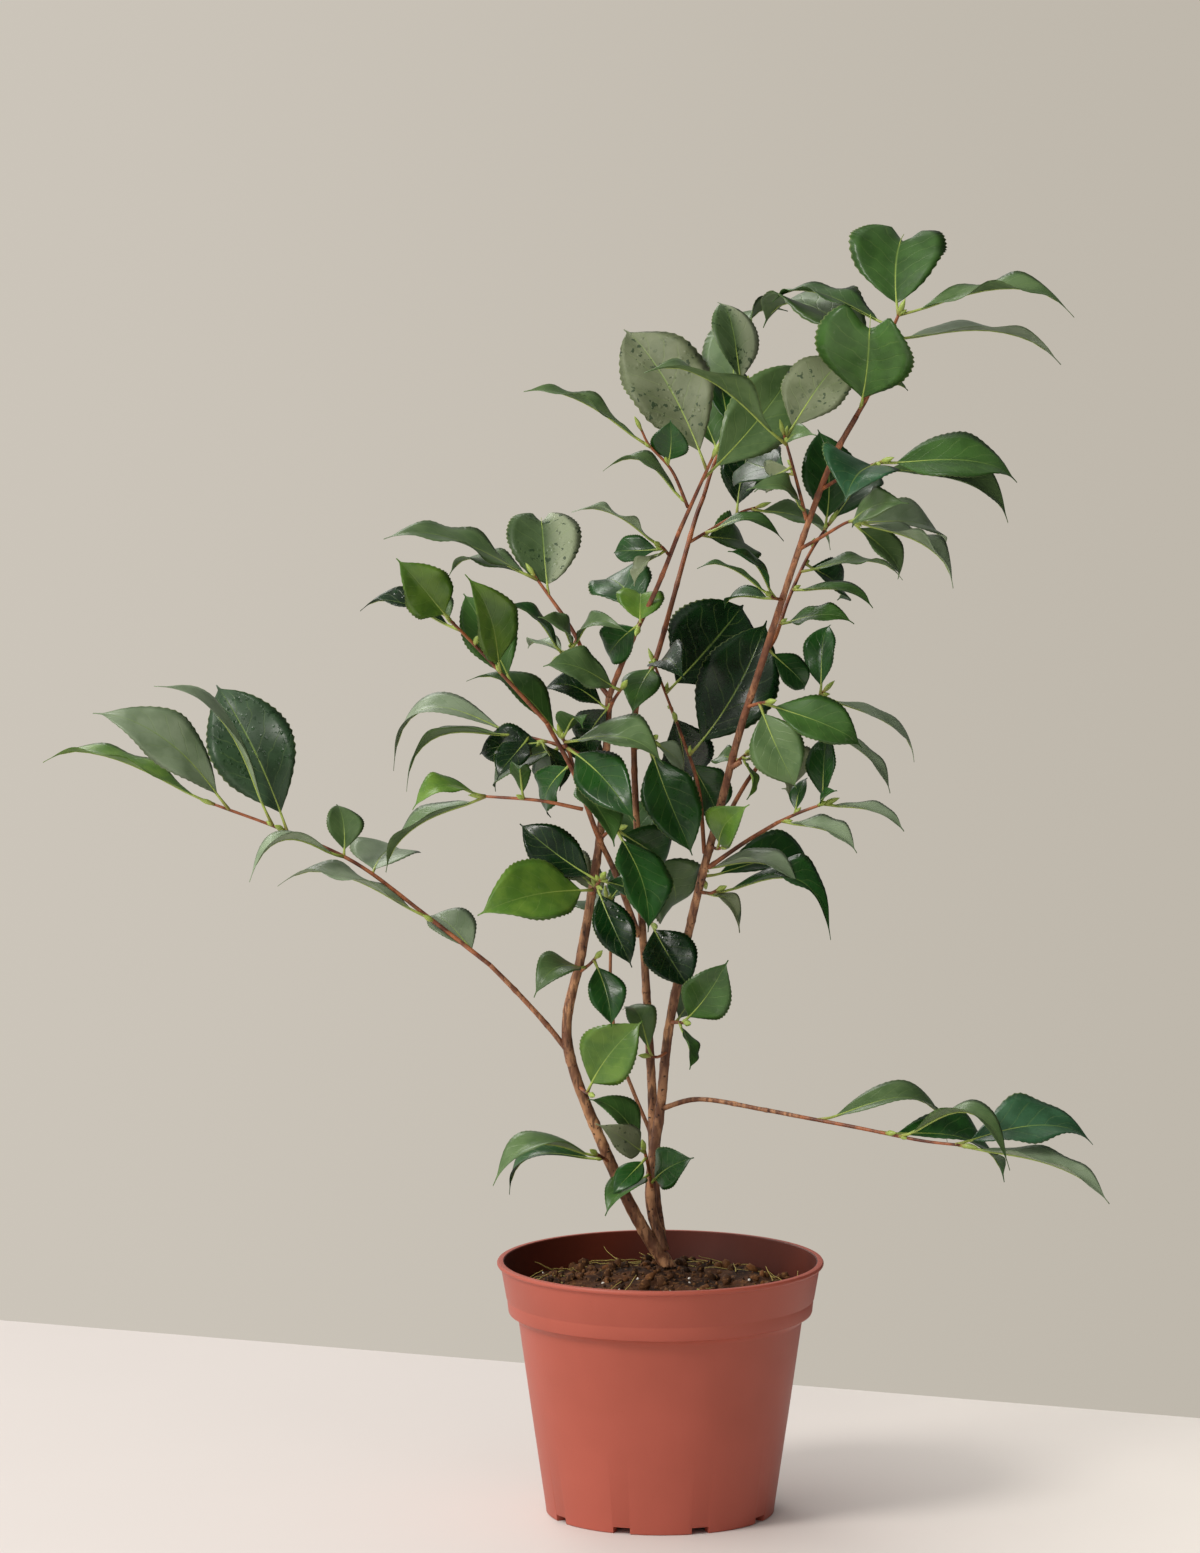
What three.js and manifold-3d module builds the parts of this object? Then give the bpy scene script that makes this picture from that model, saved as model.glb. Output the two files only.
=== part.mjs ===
// A young camellia in a thin plastic nursery pot. Millimetres, +Z up, origin at the centre of
// the pot's flat underside, front to -Y.
//
// The plant grows by one rule. Three stems and a thin one rise from one root crown, cut flat at
// the soil. Each limb is a tapering tube along a smooth curve, cut clear of the limbs before it. Each
// mass of foliage is one shoot: a stem, short spurs with buds and glossy leaves on their own
// stalks, all fused. A shoot's rows say where it goes and how its leaves are held, and a seeded
// rule gives each leaf its width, fold, twist and sweep. A leaf that would touch a limb or
// another mass is left out.
import * as THREE from 'three';
import { mergeVertices } from 'three/addons/utils/BufferGeometryUtils.js';
import Module from 'manifold-3d';

const wasm = await Module();
wasm.setup();

// ---------------------------------------------------------------- driving dimensions, mm
const GAP = 0.3; // between pieces that meet
const SMALLEST = 0.1; // detail of a shoot finer than this is smoothed away
const POT = {
  height: 129,
  rimRadius: 82.5,
  lip: 2.5, // height of the bead round the rim
  bandTopRadius: 80.7, // the deep band under the bead
  bandFootRadius: 76.7,
  bandHeight: 25.7,
  shoulderRadius: 71.9, // where the band steps in to the body
  shoulderDrop: 3.8,
  footRadius: 57.8,
  wall: 1.7,
  floor: 5,
  recessHeight: 3, // a raised ring under the floor
  recessRadii: [40, 53],
  notches: 9, // drainage notches through the foot ring
  notchWidth: 9,
  notchHeight: 3.4,
  segments: 30,
};
const SOIL = { wallLevel: 113.5, shelfLevel: 115, shelfRadius: 60, crownLevel: 121.7, crownRadius: 28 };
const LIMB = { sides: 6, stepLength: 22, flare: 0.4, flareLength: 14 };
const SHOOT = { sides: 4, stepLength: 20, budLength: 9, spurSpacing: 75, spurLength: 7 };
const LEAF = {
  stalk: 0.12, // share of the leaf's length that is bare stalk
  stalkRadius: 0.85,
  thickness: 0.016, // of its length, at the midrib
  baseBreadth: 16, // breadth grows from 16 mm, so short curled leaves stay broad
  breadthPerLength: 0.68,
  bluntFrom: 1.32, // a leaf this much broader than usual has a blunt tip
  stations: [0, 0.28, 0.66, 1], // along the blade
};
// How a leaf is held: its roll in degrees (0 faces up, 90 faces the front) and its arch, the
// height of its bow as a share of its length. Leaves that point away or towards hold their face up.
const POSTURES = {
  face: { roll: 80, arch: 0.05 },
  half: { roll: 54, arch: 0.09 },
  tilt: { roll: 32, arch: 0.12 },
  edge: { roll: 14, arch: 0.13, breadth: 0.85 },
  thin: { roll: 4, arch: 0.1, breadth: 0.78 },
  arc: { roll: 24, arch: 0.24, breadth: 0.85 },
  droop: { roll: 10, arch: 0.3, breadth: 0.75 },
  curl: { roll: 50, arch: 0.3 },
  away: { up: true, arch: 0.08, breadth: 1.35 },
  toward: { up: true, arch: 0.16 },
};
const FIRST_SEED = 7;

// Limbs: what carries each, its thickness at foot and tip, and the points that it passes.
const LIMBS = {
  trunk: { on: null, thick: [7, 3.6],
    path: [[10, 21, 111], [4, 20, 122], [-10, 18, 144], [-28, 14, 183], [-47, 10, 239], [-40, 6, 284],
      [-34, 4, 320], [-29, 0, 360], [-26, -3, 416]] },
  stem_right: { on: 'trunk', thick: [5.8, 2.8],
    path: [[2, 20, 130], [-5, 22, 158], [0, 20, 203], [5, 16, 249], [17, 8, 308], [28, 0, 353],
      [39, -8, 398], [49, -14, 431], [69, -26, 495], [84, -34, 537], [96, -38, 560]] },
  stem_middle: { on: 'trunk', thick: [5.6, 2.2],
    path: [[1, 22, 132], [-3, 34, 164], [-4, 34, 207], [-7, 34, 262], [-10, 32, 313],
      [-13, 30, 400], [-1, 34, 435], [16, 46, 495], [22, 50, 512]] },
  stem_thin: { on: 'stem_middle', thick: [2.2, 1.6],
    path: [[-3, 34, 184], [-13, 40, 207], [-21, 44, 229], [-25, 46, 255], [-25, 46, 288]] },
  bough_left: { on: 'trunk', thick: [3, 2.4],
    path: [[-45, 10, 232], [-57, 12, 247], [-72, 16, 263], [-86, 18, 277]] },
  bough_low_right: { on: 'stem_right', thick: [2.8, 2],
    path: [[0, 20, 203], [20, 8, 210], [51, -10, 208], [70, -20, 206]] },
  bough_front: { on: 'stem_middle', thick: [3.4, 2.2],
    path: [[-11, 33, 290], [-23, 6, 326], [-32, -10, 348], [-43, -22, 379], [-57, -34, 407]] },
  bough_upper_left: { on: 'trunk', thick: [2.6, 2],
    path: [[-26, -3, 416], [-34, 2, 427], [-42, 8, 444], [-48, 12, 454]] },
  bough_upper_centre: { on: 'trunk', thick: [3, 2.2],
    path: [[-26, -3, 416], [-22, -6, 427], [-13, -12, 449], [-2, -18, 473], [9, -26, 502]] },
  bough_right: { on: 'stem_right', thick: [2.4, 2],
    path: [[24, 3, 329], [42, -6, 343], [58, -14, 354]] },
  bough_back_right: { on: 'stem_right', thick: [2.6, 2],
    path: [[29, 1, 347], [43, 16, 370], [55, 24, 385]] },
};

// Shoots: the limb that carries each, its stem, and a row for each leaf: where it leaves the stem
// (0 to 1), its clock direction (degrees from upright, clockwise from the front), how far it
// leans to the front (degrees), its length (mm), its posture, and where it is broader or
// narrower than its length gives, by what factor.
const SHOOTS = {
  foliage_left: { on: 'bough_left', thick: [2.4, 1.4],
    path: [[-86, 18, 277], [-117, 26, 300], [-153, 34, 326], [-189, 40, 342], [-226, 46, 355]],
    leaves: [[0.05, -56, -45, 42, 'tilt'], [0.25, -74, -3, 78, 'thin'],
      [0.45, 72, -72, 53, 'away', 0.9], [0.55, -99, 23, 52, 'droop'],
      [0.55, -9, -35, 31, 'away', 0.75], [0.75, -27, -18, 86, 'face'],
      [0.8, -33, 23, 103, 'thin', 0.8], [0.95, -51, 9, 85, 'half', 0.78],
      [1, -75, -16, 94, 'thin', 0.8]] },
  foliage_low_right: { on: 'bough_low_right', thick: [2, 1.4],
    path: [[70, -20, 206], [98, -34, 203], [129, -48, 199], [149, -56, 198]],
    leaves: [[0.1, 99, -18, 72, 'arc', 0.8], [0.55, 99, 32, 64, 'droop'],
      [0.45, 115, -29, 83, 'edge'], [0.95, 89, -10, 71, 'tilt'], [1, 108, 16, 80, 'thin', 0.8]] },
  foliage_front_left: { on: 'bough_front', thick: [2.2, 1.4],
    path: [[-57, -34, 407], [-88, -50, 443], [-106, -60, 463]],
    leaves: [[0.95, -37, 33, 48, 'face'], [0.8, -77, -18, 53, 'edge', 0.8],
      [0.9, -72, -55, 49, 'thin'], [0.35, -15, 37, 67, 'half', 0.85],
      [0.25, -29, -21, 55, 'face']] },
  foliage_front_side: { on: 'bough_front', thick: [2, 1.5],
    path: [[-42, -21, 376], [-45, -24, 388], [-49, -30, 399]],
    leaves: [[0.95, -57, -22, 60, 'edge'], [1, 43, 67, 37, 'toward', 0.8],
      [0.9, 94, 35, 59, 'tilt'], [0.75, 132, 44, 61, 'face', 0.85], [0.1, 145, 41, 46, 'half'],
      [0.4, -159, -43, 47, 'tilt', 0.8]] },
  foliage_side_left: { on: 'bough_front', thick: [2, 1.4],
    path: [[-39, -15, 361], [-61, -12, 365], [-88, -4, 366]],
    leaves: [[1, -93, 32, 42, 'arc'], [1, -127, -17, 68, 'thin'],
      [0.65, -6, 57, 36, 'toward', 0.5]] },
  foliage_dark_left: { on: 'trunk', thick: [2.2, 1.4],
    path: [[-29, 0, 375], [-44, 12, 387], [-72, 24, 394]],
    leaves: [[1, -113, 7, 63, 'droop'], [1, -106, -21, 72, 'droop'], [0.75, -101, -16, 37, 'half'],
      [0.6, -124, -34, 54, 'tilt'], [0.65, -169, -53, 50, 'half', 0.7],
      [0.8, 156, 29, 29, 'tilt', 0.9], [0.7, 128, -38, 42, 'tilt'],
      [0.9, -137, 43, 32, 'half', 0.9]] },
  foliage_upper_left: { on: 'bough_upper_left', thick: [2, 1.4],
    path: [[-48, 12, 454], [-57, 17, 466], [-63, 20, 474]],
    leaves: [[0.45, -6, -41, 52, 'away'], [0.9, -72, 10, 81, 'thin'], [1, -88, -30, 51, 'edge']] },
  foliage_fork_left: { on: 'bough_upper_left', thick: [1.8, 1.5],
    path: [[-42, 7, 444], [-46, -2, 439], [-50, -8, 437]],
    leaves: [[0.85, -48, 9, 40, 'edge'], [0.65, -90, -57, 36, 'edge', 0.7],
      [0.25, -43, 47, 35, 'tilt', 0.8], [0.4, 64, 48, 46, 'arc', 0.5]] },
  foliage_fork: { on: 'trunk', thick: [2.2, 1.6],
    path: [[-27, -3, 406], [-24, -12, 415], [-20, -20, 422]],
    leaves: [[0.95, -66, 22, 43, 'tilt'], [0.2, -75, -13, 36, 'curl', 0.8],
      [0.4, -158, -45, 45, 'half', 0.9]] },
  foliage_node_left: { on: 'trunk', thick: [2.4, 1.7],
    path: [[-35, 4, 315], [-32, -4, 321], [-30, -10, 325]],
    leaves: [[0.8, -55, -12, 50, 'face', 0.85], [0.25, -96, 35, 70, 'half', 1.1],
      [0.5, 155, 26, 46, 'face', 0.82], [0.95, 115, 8, 30, 'tilt'], [0.4, -72, -53, 42, 'tilt']] },
  foliage_trunk_right: { on: 'trunk', thick: [2, 1.5],
    path: [[-30, 1, 344], [-26, -9, 349], [-22, -14, 351]],
    leaves: [[0.95, 161, 31, 58, 'half'], [0.95, 137, -51, 57, 'half', 0.9]] },
  foliage_upper_centre: { on: 'bough_upper_centre', thick: [2.2, 1.5],
    path: [[9, -26, 502], [18, -32, 523], [25, -36, 539]],
    leaves: [[0.65, 41, -28, 85, 'face', 0.92], [0.8, -31, -29, 91, 'face']] },
  foliage_curl: { on: 'bough_upper_centre', thick: [1.8, 1.2],
    path: [[13, -29, 514], [5, -38, 533], [-6, -46, 546], [-10, -50, 554]],
    leaves: [[0.65, -64, 8, 69, 'thin', 0.8], [0.4, 3, 19, 24, 'face', 1.1],
      [0.05, -69, -10, 44, 'droop', 0.8]] },
  foliage_heart: { on: 'bough_upper_centre', thick: [1.8, 1.5],
    path: [[-8, -15, 461], [-10, -22, 456], [-11, -26, 454]],
    leaves: [[0.65, 1, -57, 26, 'away', 0.98], [0.15, -61, -65, 57, 'half'],
      [0.65, -141, -42, 36, 'face', 0.9]] },
  foliage_twist: { on: 'bough_upper_centre', thick: [1.8, 1.4],
    path: [[4, -22, 489], [1, -34, 494], [-1, -40, 496]],
    leaves: [[0.85, -64, 21, 51, 'thin', 0.8], [0.5, -97, -29, 29, 'half', 0.8],
      [0.35, -133, 46, 31, 'tilt', 0.7]] },
  foliage_back_top: { on: 'stem_middle', thick: [2, 1.3],
    path: [[22, 50, 512], [27, 56, 527], [35, 64, 544], [42, 70, 563]],
    leaves: [[1, -13, -33, 55, 'half'], [0.8, 25, -55, 100, 'tilt', 0.9],
      [0.45, -33, -63, 56, 'half'], [0.5, 140, -50, 52, 'tilt'],
      [0.65, -25, -63, 72, 'half', 0.9]] },
  foliage_wet_pair: { on: 'stem_middle', thick: [1.8, 1.3],
    path: [[15, 45, 489], [28, 52, 496], [41, 56, 503], [48, 58, 505]],
    leaves: [[0.6, 14, -14, 42, 'face'], [0.15, 118, -63, 56, 'tilt'], [0.9, 117, -23, 51, 'edge'],
      [0.2, 92, 22, 42, 'arc', 0.6]] },
  foliage_middle_front: { on: 'stem_middle', thick: [2, 1.5],
    path: [[-12, 30, 386], [-7, 12, 390], [-4, 2, 394]],
    leaves: [[0.7, 158, 19, 61, 'face', 0.95], [0.85, 137, -22, 26, 'tilt', 0.8],
      [0.6, 179, -27, 53, 'edge', 0.7], [0.4, -52, 64, 33, 'tilt', 0.8]] },
  foliage_young: { on: 'stem_right', thick: [2.2, 1.3],
    path: [[22, 4, 336], [19, 16, 368], [11, 24, 392], [4, 30, 410], [-3, 34, 428]],
    leaves: [[1, -150, 56, 41, 'half', 0.8], [1, 96, 72, 46, 'tilt', 0.8],
      [0.8, 44, -32, 69, 'face', 1.3], [0.4, 30, -9, 79, 'face', 1.05], [0.4, 158, -38, 49, 'half'],
      [0.7, 179, -45, 70, 'half']] },
  foliage_stem_back: { on: 'stem_middle', thick: [1.8, 1.4],
    path: [[-12, 32, 328], [-6, 48, 327], [-3, 56, 327]],
    leaves: [[0.95, 172, -57, 72, 'tilt'], [0.6, -38, -56, 53, 'half']] },
  foliage_middle_low: { on: 'stem_middle', thick: [2, 1.5],
    path: [[-10, 32, 300], [-6, 20, 300], [-4, 12, 299]],
    leaves: [[0.75, 148, 26, 41, 'face', 1.2]] },
  foliage_thin_top: { on: 'stem_thin', thick: [1.6, 1.2],
    path: [[-25, 46, 288], [-26, 46, 298], [-27, 44, 306]],
    leaves: [[0.9, 62, -50, 39, 'tilt'], [1, -54, -49, 40, 'tilt'], [0.25, -80, -73, 52, 'edge']] },
  foliage_trunk_low: { on: 'trunk', thick: [2, 1.5],
    path: [[-41, 7, 275], [-36, 0, 280], [-33, -5, 284]],
    leaves: [[0.9, 164, 26, 36, 'face', 0.85], [0.35, -110, 43, 38, 'arc']] },
  foliage_fork_low: { on: 'trunk', thick: [2, 1.5],
    path: [[-41, 11, 216], [-38, 2, 215], [-36, -4, 215]],
    leaves: [[0.75, 35, 19, 50, 'face', 1.15]] },
  foliage_knot: { on: 'stem_right', thick: [2.2, 1.6],
    path: [[5, 16, 248], [9, 4, 250], [12, -4, 251]],
    leaves: [[0.85, 33, 22, 43, 'face', 1.1], [0.6, 165, 44, 29, 'tilt', 0.8],
      [0.35, 101, -77, 56, 'edge']] },
  foliage_curled: { on: 'stem_right', thick: [1.8, 1.4],
    path: [[4, 17, 233], [-1, 12, 231], [-5, 8, 232]],
    leaves: [[0.9, -33, -38, 33, 'curl', 0.8]] },
  foliage_foot_left: { on: 'trunk', thick: [2, 1.5],
    path: [[-25, 15, 176], [-29, 8, 180], [-32, 2, 183]],
    leaves: [[0.75, -99, 20, 58, 'arc'], [0.45, -113, -17, 55, 'droop']] },
  foliage_foot: { on: 'stem_right', thick: [2.2, 1.6],
    path: [[-4, 22, 161], [-6, 8, 175], [-8, 0, 185]],
    leaves: [[1, -44, 6, 39, 'tilt'], [0.95, -49, 45, 43, 'half', 0.7],
      [0.8, -133, 34, 28, 'half', 0.7], [0.35, -121, 49, 40, 'tilt', 0.8],
      [0.15, 50, 42, 36, 'half', 0.9]] },
  foliage_right_low: { on: 'stem_right', thick: [2, 1.5],
    path: [[20, 6, 316], [25, -4, 317], [28, -8, 319]],
    leaves: [[0.7, 109, 13, 64, 'droop', 1.1], [0.35, 135, 42, 30, 'curl', 0.5]] },
  foliage_right_mid: { on: 'stem_right', thick: [2, 1.5],
    path: [[22, 4, 332], [21, 14, 325], [22, 20, 320]],
    leaves: [[0.75, 103, -34, 71, 'arc'], [0.3, 94, 32, 57, 'edge']] },
  foliage_right: { on: 'bough_right', thick: [2, 1.4],
    path: [[58, -14, 354], [69, -20, 360], [81, -24, 365]],
    leaves: [[0.1, 107, 27, 44, 'thin'], [0.4, 19, -33, 22, 'half', 0.6],
      [0.95, 6, -16, 37, 'half', 0.8], [0.9, 41, 44, 17, 'tilt', 0.5],
      [1, 105, 21, 44, 'thin', 0.8]] },
  foliage_bright_right: { on: 'stem_right', thick: [1.8, 1.4],
    path: [[25, 2, 340], [28, -8, 340], [30, -12, 341]],
    leaves: [[0.6, 28, 46, 42, 'half']] },
  foliage_back_right: { on: 'bough_back_right', thick: [2, 1.4],
    path: [[55, 24, 385], [70, 34, 402], [82, 40, 413]],
    leaves: [[0.95, 7, -27, 39, 'half', 0.8], [0.95, 122, -8, 60, 'thin', 0.8],
      [0.5, 127, 15, 61, 'thin', 0.8], [0.15, 171, -54, 54, 'tilt']] },
  foliage_stem_bend: { on: 'stem_right', thick: [2, 1.5],
    path: [[43, -11, 412], [49, -20, 415], [52, -24, 416]],
    leaves: [[0.75, 112, 8, 54, 'half', 0.85], [0.5, 156, 13, 46, 'face']] },
  foliage_spur: { on: 'stem_right', thick: [2, 1.6],
    path: [[36, -4, 381], [40, 4, 384], [42, 8, 385]],
    leaves: [[0.6, 103, 39, 26, 'tilt', 0.9], [0.75, 170, 47, 27, 'tilt', 0.5],
      [0.4, -103, -60, 23, 'tilt', 0.7]] },
  foliage_twin: { on: 'stem_right', thick: [2.2, 1.4],
    path: [[51, -15, 439], [57, -4, 446], [64, 4, 465], [74, 10, 486], [84, 14, 501]],
    leaves: [[0.1, 138, -25, 33, 'half', 0.8], [0.35, 83, 29, 41, 'edge', 0.8],
      [0.55, 98, 24, 44, 'thin'], [0.65, 92, -7, 52, 'edge', 0.8], [0.95, -3, -16, 52, 'face'],
      [1, 44, -54, 54, 'half'], [0.7, 139, -53, 50, 'tilt', 0.8]] },
  foliage_left_of_stem: { on: 'stem_right', thick: [1.8, 1.5],
    path: [[60, -21, 467], [56, -32, 469], [54, -38, 471]],
    leaves: [[0.75, -63, 17, 42, 'thin', 0.8], [0.45, -41, 32, 41, 'edge', 0.7],
      [0.5, -102, -41, 34, 'thin', 0.8]] },
  foliage_rosette: { on: 'stem_right', thick: [2, 1.4],
    path: [[69, -26, 493], [79, -38, 500], [90, -50, 508], [95, -56, 510]],
    leaves: [[1, 120, 14, 59, 'edge'], [0.9, 110, -38, 65, 'edge'], [0.8, 60, 54, 49, 'tilt', 0.8],
      [0.9, 140, -17, 40, 'tilt', 0.9]] },
  foliage_blue: { on: 'stem_right', thick: [2, 1.4],
    path: [[79, -31, 523], [93, -48, 533], [107, -58, 539]],
    leaves: [[0.95, -127, 63, 45, 'half', 1.8], [1, 95, 3, 68, 'tilt', 1.2],
      [0.85, 111, -15, 78, 'edge']] },
  foliage_pale_left: { on: 'stem_right', thick: [2, 1.3],
    path: [[72, -27, 507], [65, -44, 534], [60, -52, 552]],
    leaves: [[0.95, 41, -38, 62, 'half', 1.1], [0.85, -57, 27, 90, 'thin'],
      [0.9, 64, 64, 33, 'tilt', 0.5], [0.55, -141, -67, 37, 'tilt', 0.7],
      [0.1, -66, 33, 37, 'arc', 0.7], [0.45, -93, -74, 79, 'half', 0.8]] },
  foliage_top: { on: 'stem_right', thick: [2.6, 1.5],
    path: [[96, -38, 560], [102, -42, 572], [108, -48, 591], [116, -52, 611]],
    leaves: [[1, 8, -48, 60, 'away', 1.08], [0.1, 4, 29, 62, 'face', 1.7],
      [1, 86, 7, 86, 'thin', 0.8], [0.8, 98, -19, 93, 'thin'], [0.9, -77, -37, 74, 'thin'],
      [0.7, -81, -57, 107, 'edge'], [0.4, -70, -66, 123, 'tilt'],
      [0.3, 85, -38, 26, 'edge', 0.6]] },

};

// ---------------------------------------------------------------- solids
/** A closed three.js geometry as a solid. A ring drawn in to a point leaves faces with no area. */
function solidOf(geometry) {
  geometry.deleteAttribute('normal');
  geometry.deleteAttribute('uv');
  const merged = mergeVertices(geometry, 1e-4);
  const corners = [];
  for (let i = 0; i < merged.index.count; i += 3) {
    const face = [0, 1, 2].map((k) => merged.index.getX(i + k));
    if (new Set(face).size === 3) corners.push(...face);
  }
  return new wasm.Manifold(new wasm.Mesh({
    numProp: 3,
    vertProperties: merged.attributes.position.array,
    triVerts: new Uint32Array(corners),
  }));
}

/** A solid as a named three.js mesh with its own material. */
function meshOf(name, solid, finish) {
  const { vertProperties, triVerts } = solid.getMesh();
  const geometry = new THREE.BufferGeometry();
  geometry.setAttribute('position', new THREE.BufferAttribute(vertProperties, 3));
  geometry.setIndex(new THREE.BufferAttribute(triVerts, 1));
  geometry.computeVertexNormals();
  const mesh = new THREE.Mesh(geometry, new THREE.MeshStandardMaterial(finish));
  mesh.name = name;
  return mesh;
}

/** The largest closed piece of a solid: what a cut leaves loose is dropped. */
const mainPiece = (solid) => solid.decompose()
  .reduce((best, piece) => (piece.volume() > best.volume() ? piece : best));

/**
 * A unit cylinder carried to another place: place(t, a, b) gives the point for height t (0 to 1)
 * and for a and b across the cylinder (-1 to 1).
 */
function loft(sides, steps, place) {
  const geometry = new THREE.CylinderGeometry(1, 1, 1, sides, steps);
  const position = geometry.attributes.position;
  for (let i = 0; i < position.count; i += 1) {
    const point = place(position.getY(i) + 0.5, position.getX(i), position.getZ(i));
    position.setXYZ(i, point.x, point.y, point.z);
  }
  return solidOf(geometry);
}

/** A round tube along a curve, with radius(t) at t along it. */
function tube(curve, sides, steps, radius) {
  const frames = curve.computeFrenetFrames(steps);
  return loft(sides, steps, (t, a, b) => {
    const step = Math.round(t * steps);
    return curve.getPointAt(step / steps)
      .addScaledVector(frames.binormals[step], a * radius(t))
      .addScaledVector(frames.normals[step], b * radius(t));
  });
}

const stepsFor = (length, stepLength) => Math.max(2, Math.round(length / stepLength));
const vector = ([x, y, z]) => new THREE.Vector3(x, y, z);
const curveThrough = (path) => new THREE.CatmullRomCurve3(path.map(vector), false, 'catmullrom', 0.5);
const degrees = THREE.MathUtils.degToRad;

/** mulberry32: the same numbers from 0 to 1 for the same seed. */
function randomFrom(seed) {
  let state = seed >>> 0;
  return () => {
    state = (state + 0x6d2b79f5) >>> 0;
    let mixed = Math.imul(state ^ (state >>> 15), state | 1);
    mixed ^= mixed + Math.imul(mixed ^ (mixed >>> 7), mixed | 61);
    return ((mixed ^ (mixed >>> 14)) >>> 0) / 4294967296;
  };
}

// ---------------------------------------------------------------- limbs
/** A limb's tube, with its skin moved out by extra. */
function limbSolid({ path, thick: [foot, tip], on }, extra = 0) {
  const curve = curveThrough(path);
  const length = curve.getLength();
  const flare = (t) => (on ? 0 : LIMB.flare * Math.exp((-t * length) / LIMB.flareLength) * (foot / 2));
  const radius = (t) => THREE.MathUtils.lerp(foot, tip, t ** 0.8) / 2 + flare(t) + extra;
  return tube(curve, LIMB.sides, stepsFor(length, LIMB.stepLength), radius);
}

// ---------------------------------------------------------------- leaves
/** A leaf's outline: its breadth at u (0 to 1) along the blade, as a share of the widest. */
function outline(u, blunt) {
  if (u === 1) return 0;
  if (blunt) return Math.sin(Math.PI * u ** 1.15) ** 0.6;
  return Math.sin(Math.PI * u ** 0.9) ** 0.75 * (1 - 0.25 * u ** 5);
}

/** How far a leaf has bowed at s (0 to 1) of its length, as a share of its bow: most past the middle. */
const bend = (s) => 5.38 * s ** 1.5 * (1 - s);

/** The unit vector of a leaf's clock direction and forward lean. */
function direction(clock, fore) {
  const level = Math.cos(degrees(fore));
  return new THREE.Vector3(
    Math.sin(degrees(clock)) * level,
    -Math.sin(degrees(fore)),
    Math.cos(degrees(clock)) * level,
  );
}

/** The way that a leaf's upper face looks. */
function facing(along, posture, jitter) {
  if (posture.up) return new THREE.Vector3(0, 0, 1).projectOnPlane(along).normalize();
  const front = new THREE.Vector3(0, -1, 0).projectOnPlane(along).normalize();
  const up = new THREE.Vector3().crossVectors(along, front);
  if (up.z < 0) up.negate();
  const roll = degrees(posture.roll + jitter);
  return up.multiplyScalar(Math.cos(roll)).addScaledVector(front, Math.sin(roll));
}

/** One leaf: a stalk and a folded, arched blade with a lens section. */
function leafSolid(root, [, clock, fore, length, postureName, broader = 1], random) {
  const posture = POSTURES[postureName];
  const width = (posture.breadth ?? 1) * broader;
  const breadth = (0.52 + 0.1 * random()) * width * (LEAF.baseBreadth + LEAF.breadthPerLength * length);
  const fold = degrees(8 + 16 * random());
  const twist = degrees(40 * (random() - 0.5));
  const sweep = 0.12 * (random() - 0.5) * length;
  const jitter = 12 * (random() - 0.5);
  const bow = posture.arch * (0.85 + 0.3 * random()) * length;
  const along = direction(clock, fore);
  const face = facing(along, posture, jitter);
  const across = new THREE.Vector3().crossVectors(along, face);
  const thickness = Math.max(LEAF.thickness * length, 1) / 2;
  const rings = [0, ...LEAF.stations.map((u) => LEAF.stalk + (1 - LEAF.stalk) * u)];
  const steps = rings.length - 1;
  return loft(4, steps, (t, a, b) => {
    const ring = Math.round(t * steps);
    const s = rings[ring];
    const onBlade = ring > 1;
    const isTip = ring === steps;
    const shape = onBlade ? outline(LEAF.stations[ring - 1], width > LEAF.bluntFrom) : 1;
    const halfBreadth = onBlade ? (breadth / 2) * shape : LEAF.stalkRadius;
    const rise = onBlade ? Math.sin(fold) * halfBreadth : 0;
    const halfThickness = !onBlade ? LEAF.stalkRadius : isTip ? 0 : thickness;
    const turn = twist * s;
    const side = across.clone().multiplyScalar(Math.cos(turn)).addScaledVector(face, Math.sin(turn));
    const up = face.clone().multiplyScalar(Math.cos(turn)).addScaledVector(across, -Math.sin(turn));
    return root.clone()
      .addScaledVector(along, length * s)
      .addScaledVector(face, bow * bend(s))
      .addScaledVector(across, sweep * 4 * s * (1 - s))
      .addScaledVector(side, a * halfBreadth * (onBlade ? Math.cos(fold) : 1))
      .addScaledVector(up, Math.abs(a) * rise + b * halfThickness);
  });
}

// ---------------------------------------------------------------- shoots
/** A pointed bud that leaves the stem at root. */
function budSolid(root, along, length, radius) {
  const end = root.clone().addScaledVector(along, length);
  const curve = new THREE.LineCurve3(root, end);
  const swell = [0.8, 1.4, 0];
  return tube(curve, 3, swell.length - 1, (t) => radius * swell[Math.round(t * (swell.length - 1))]);
}

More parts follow.
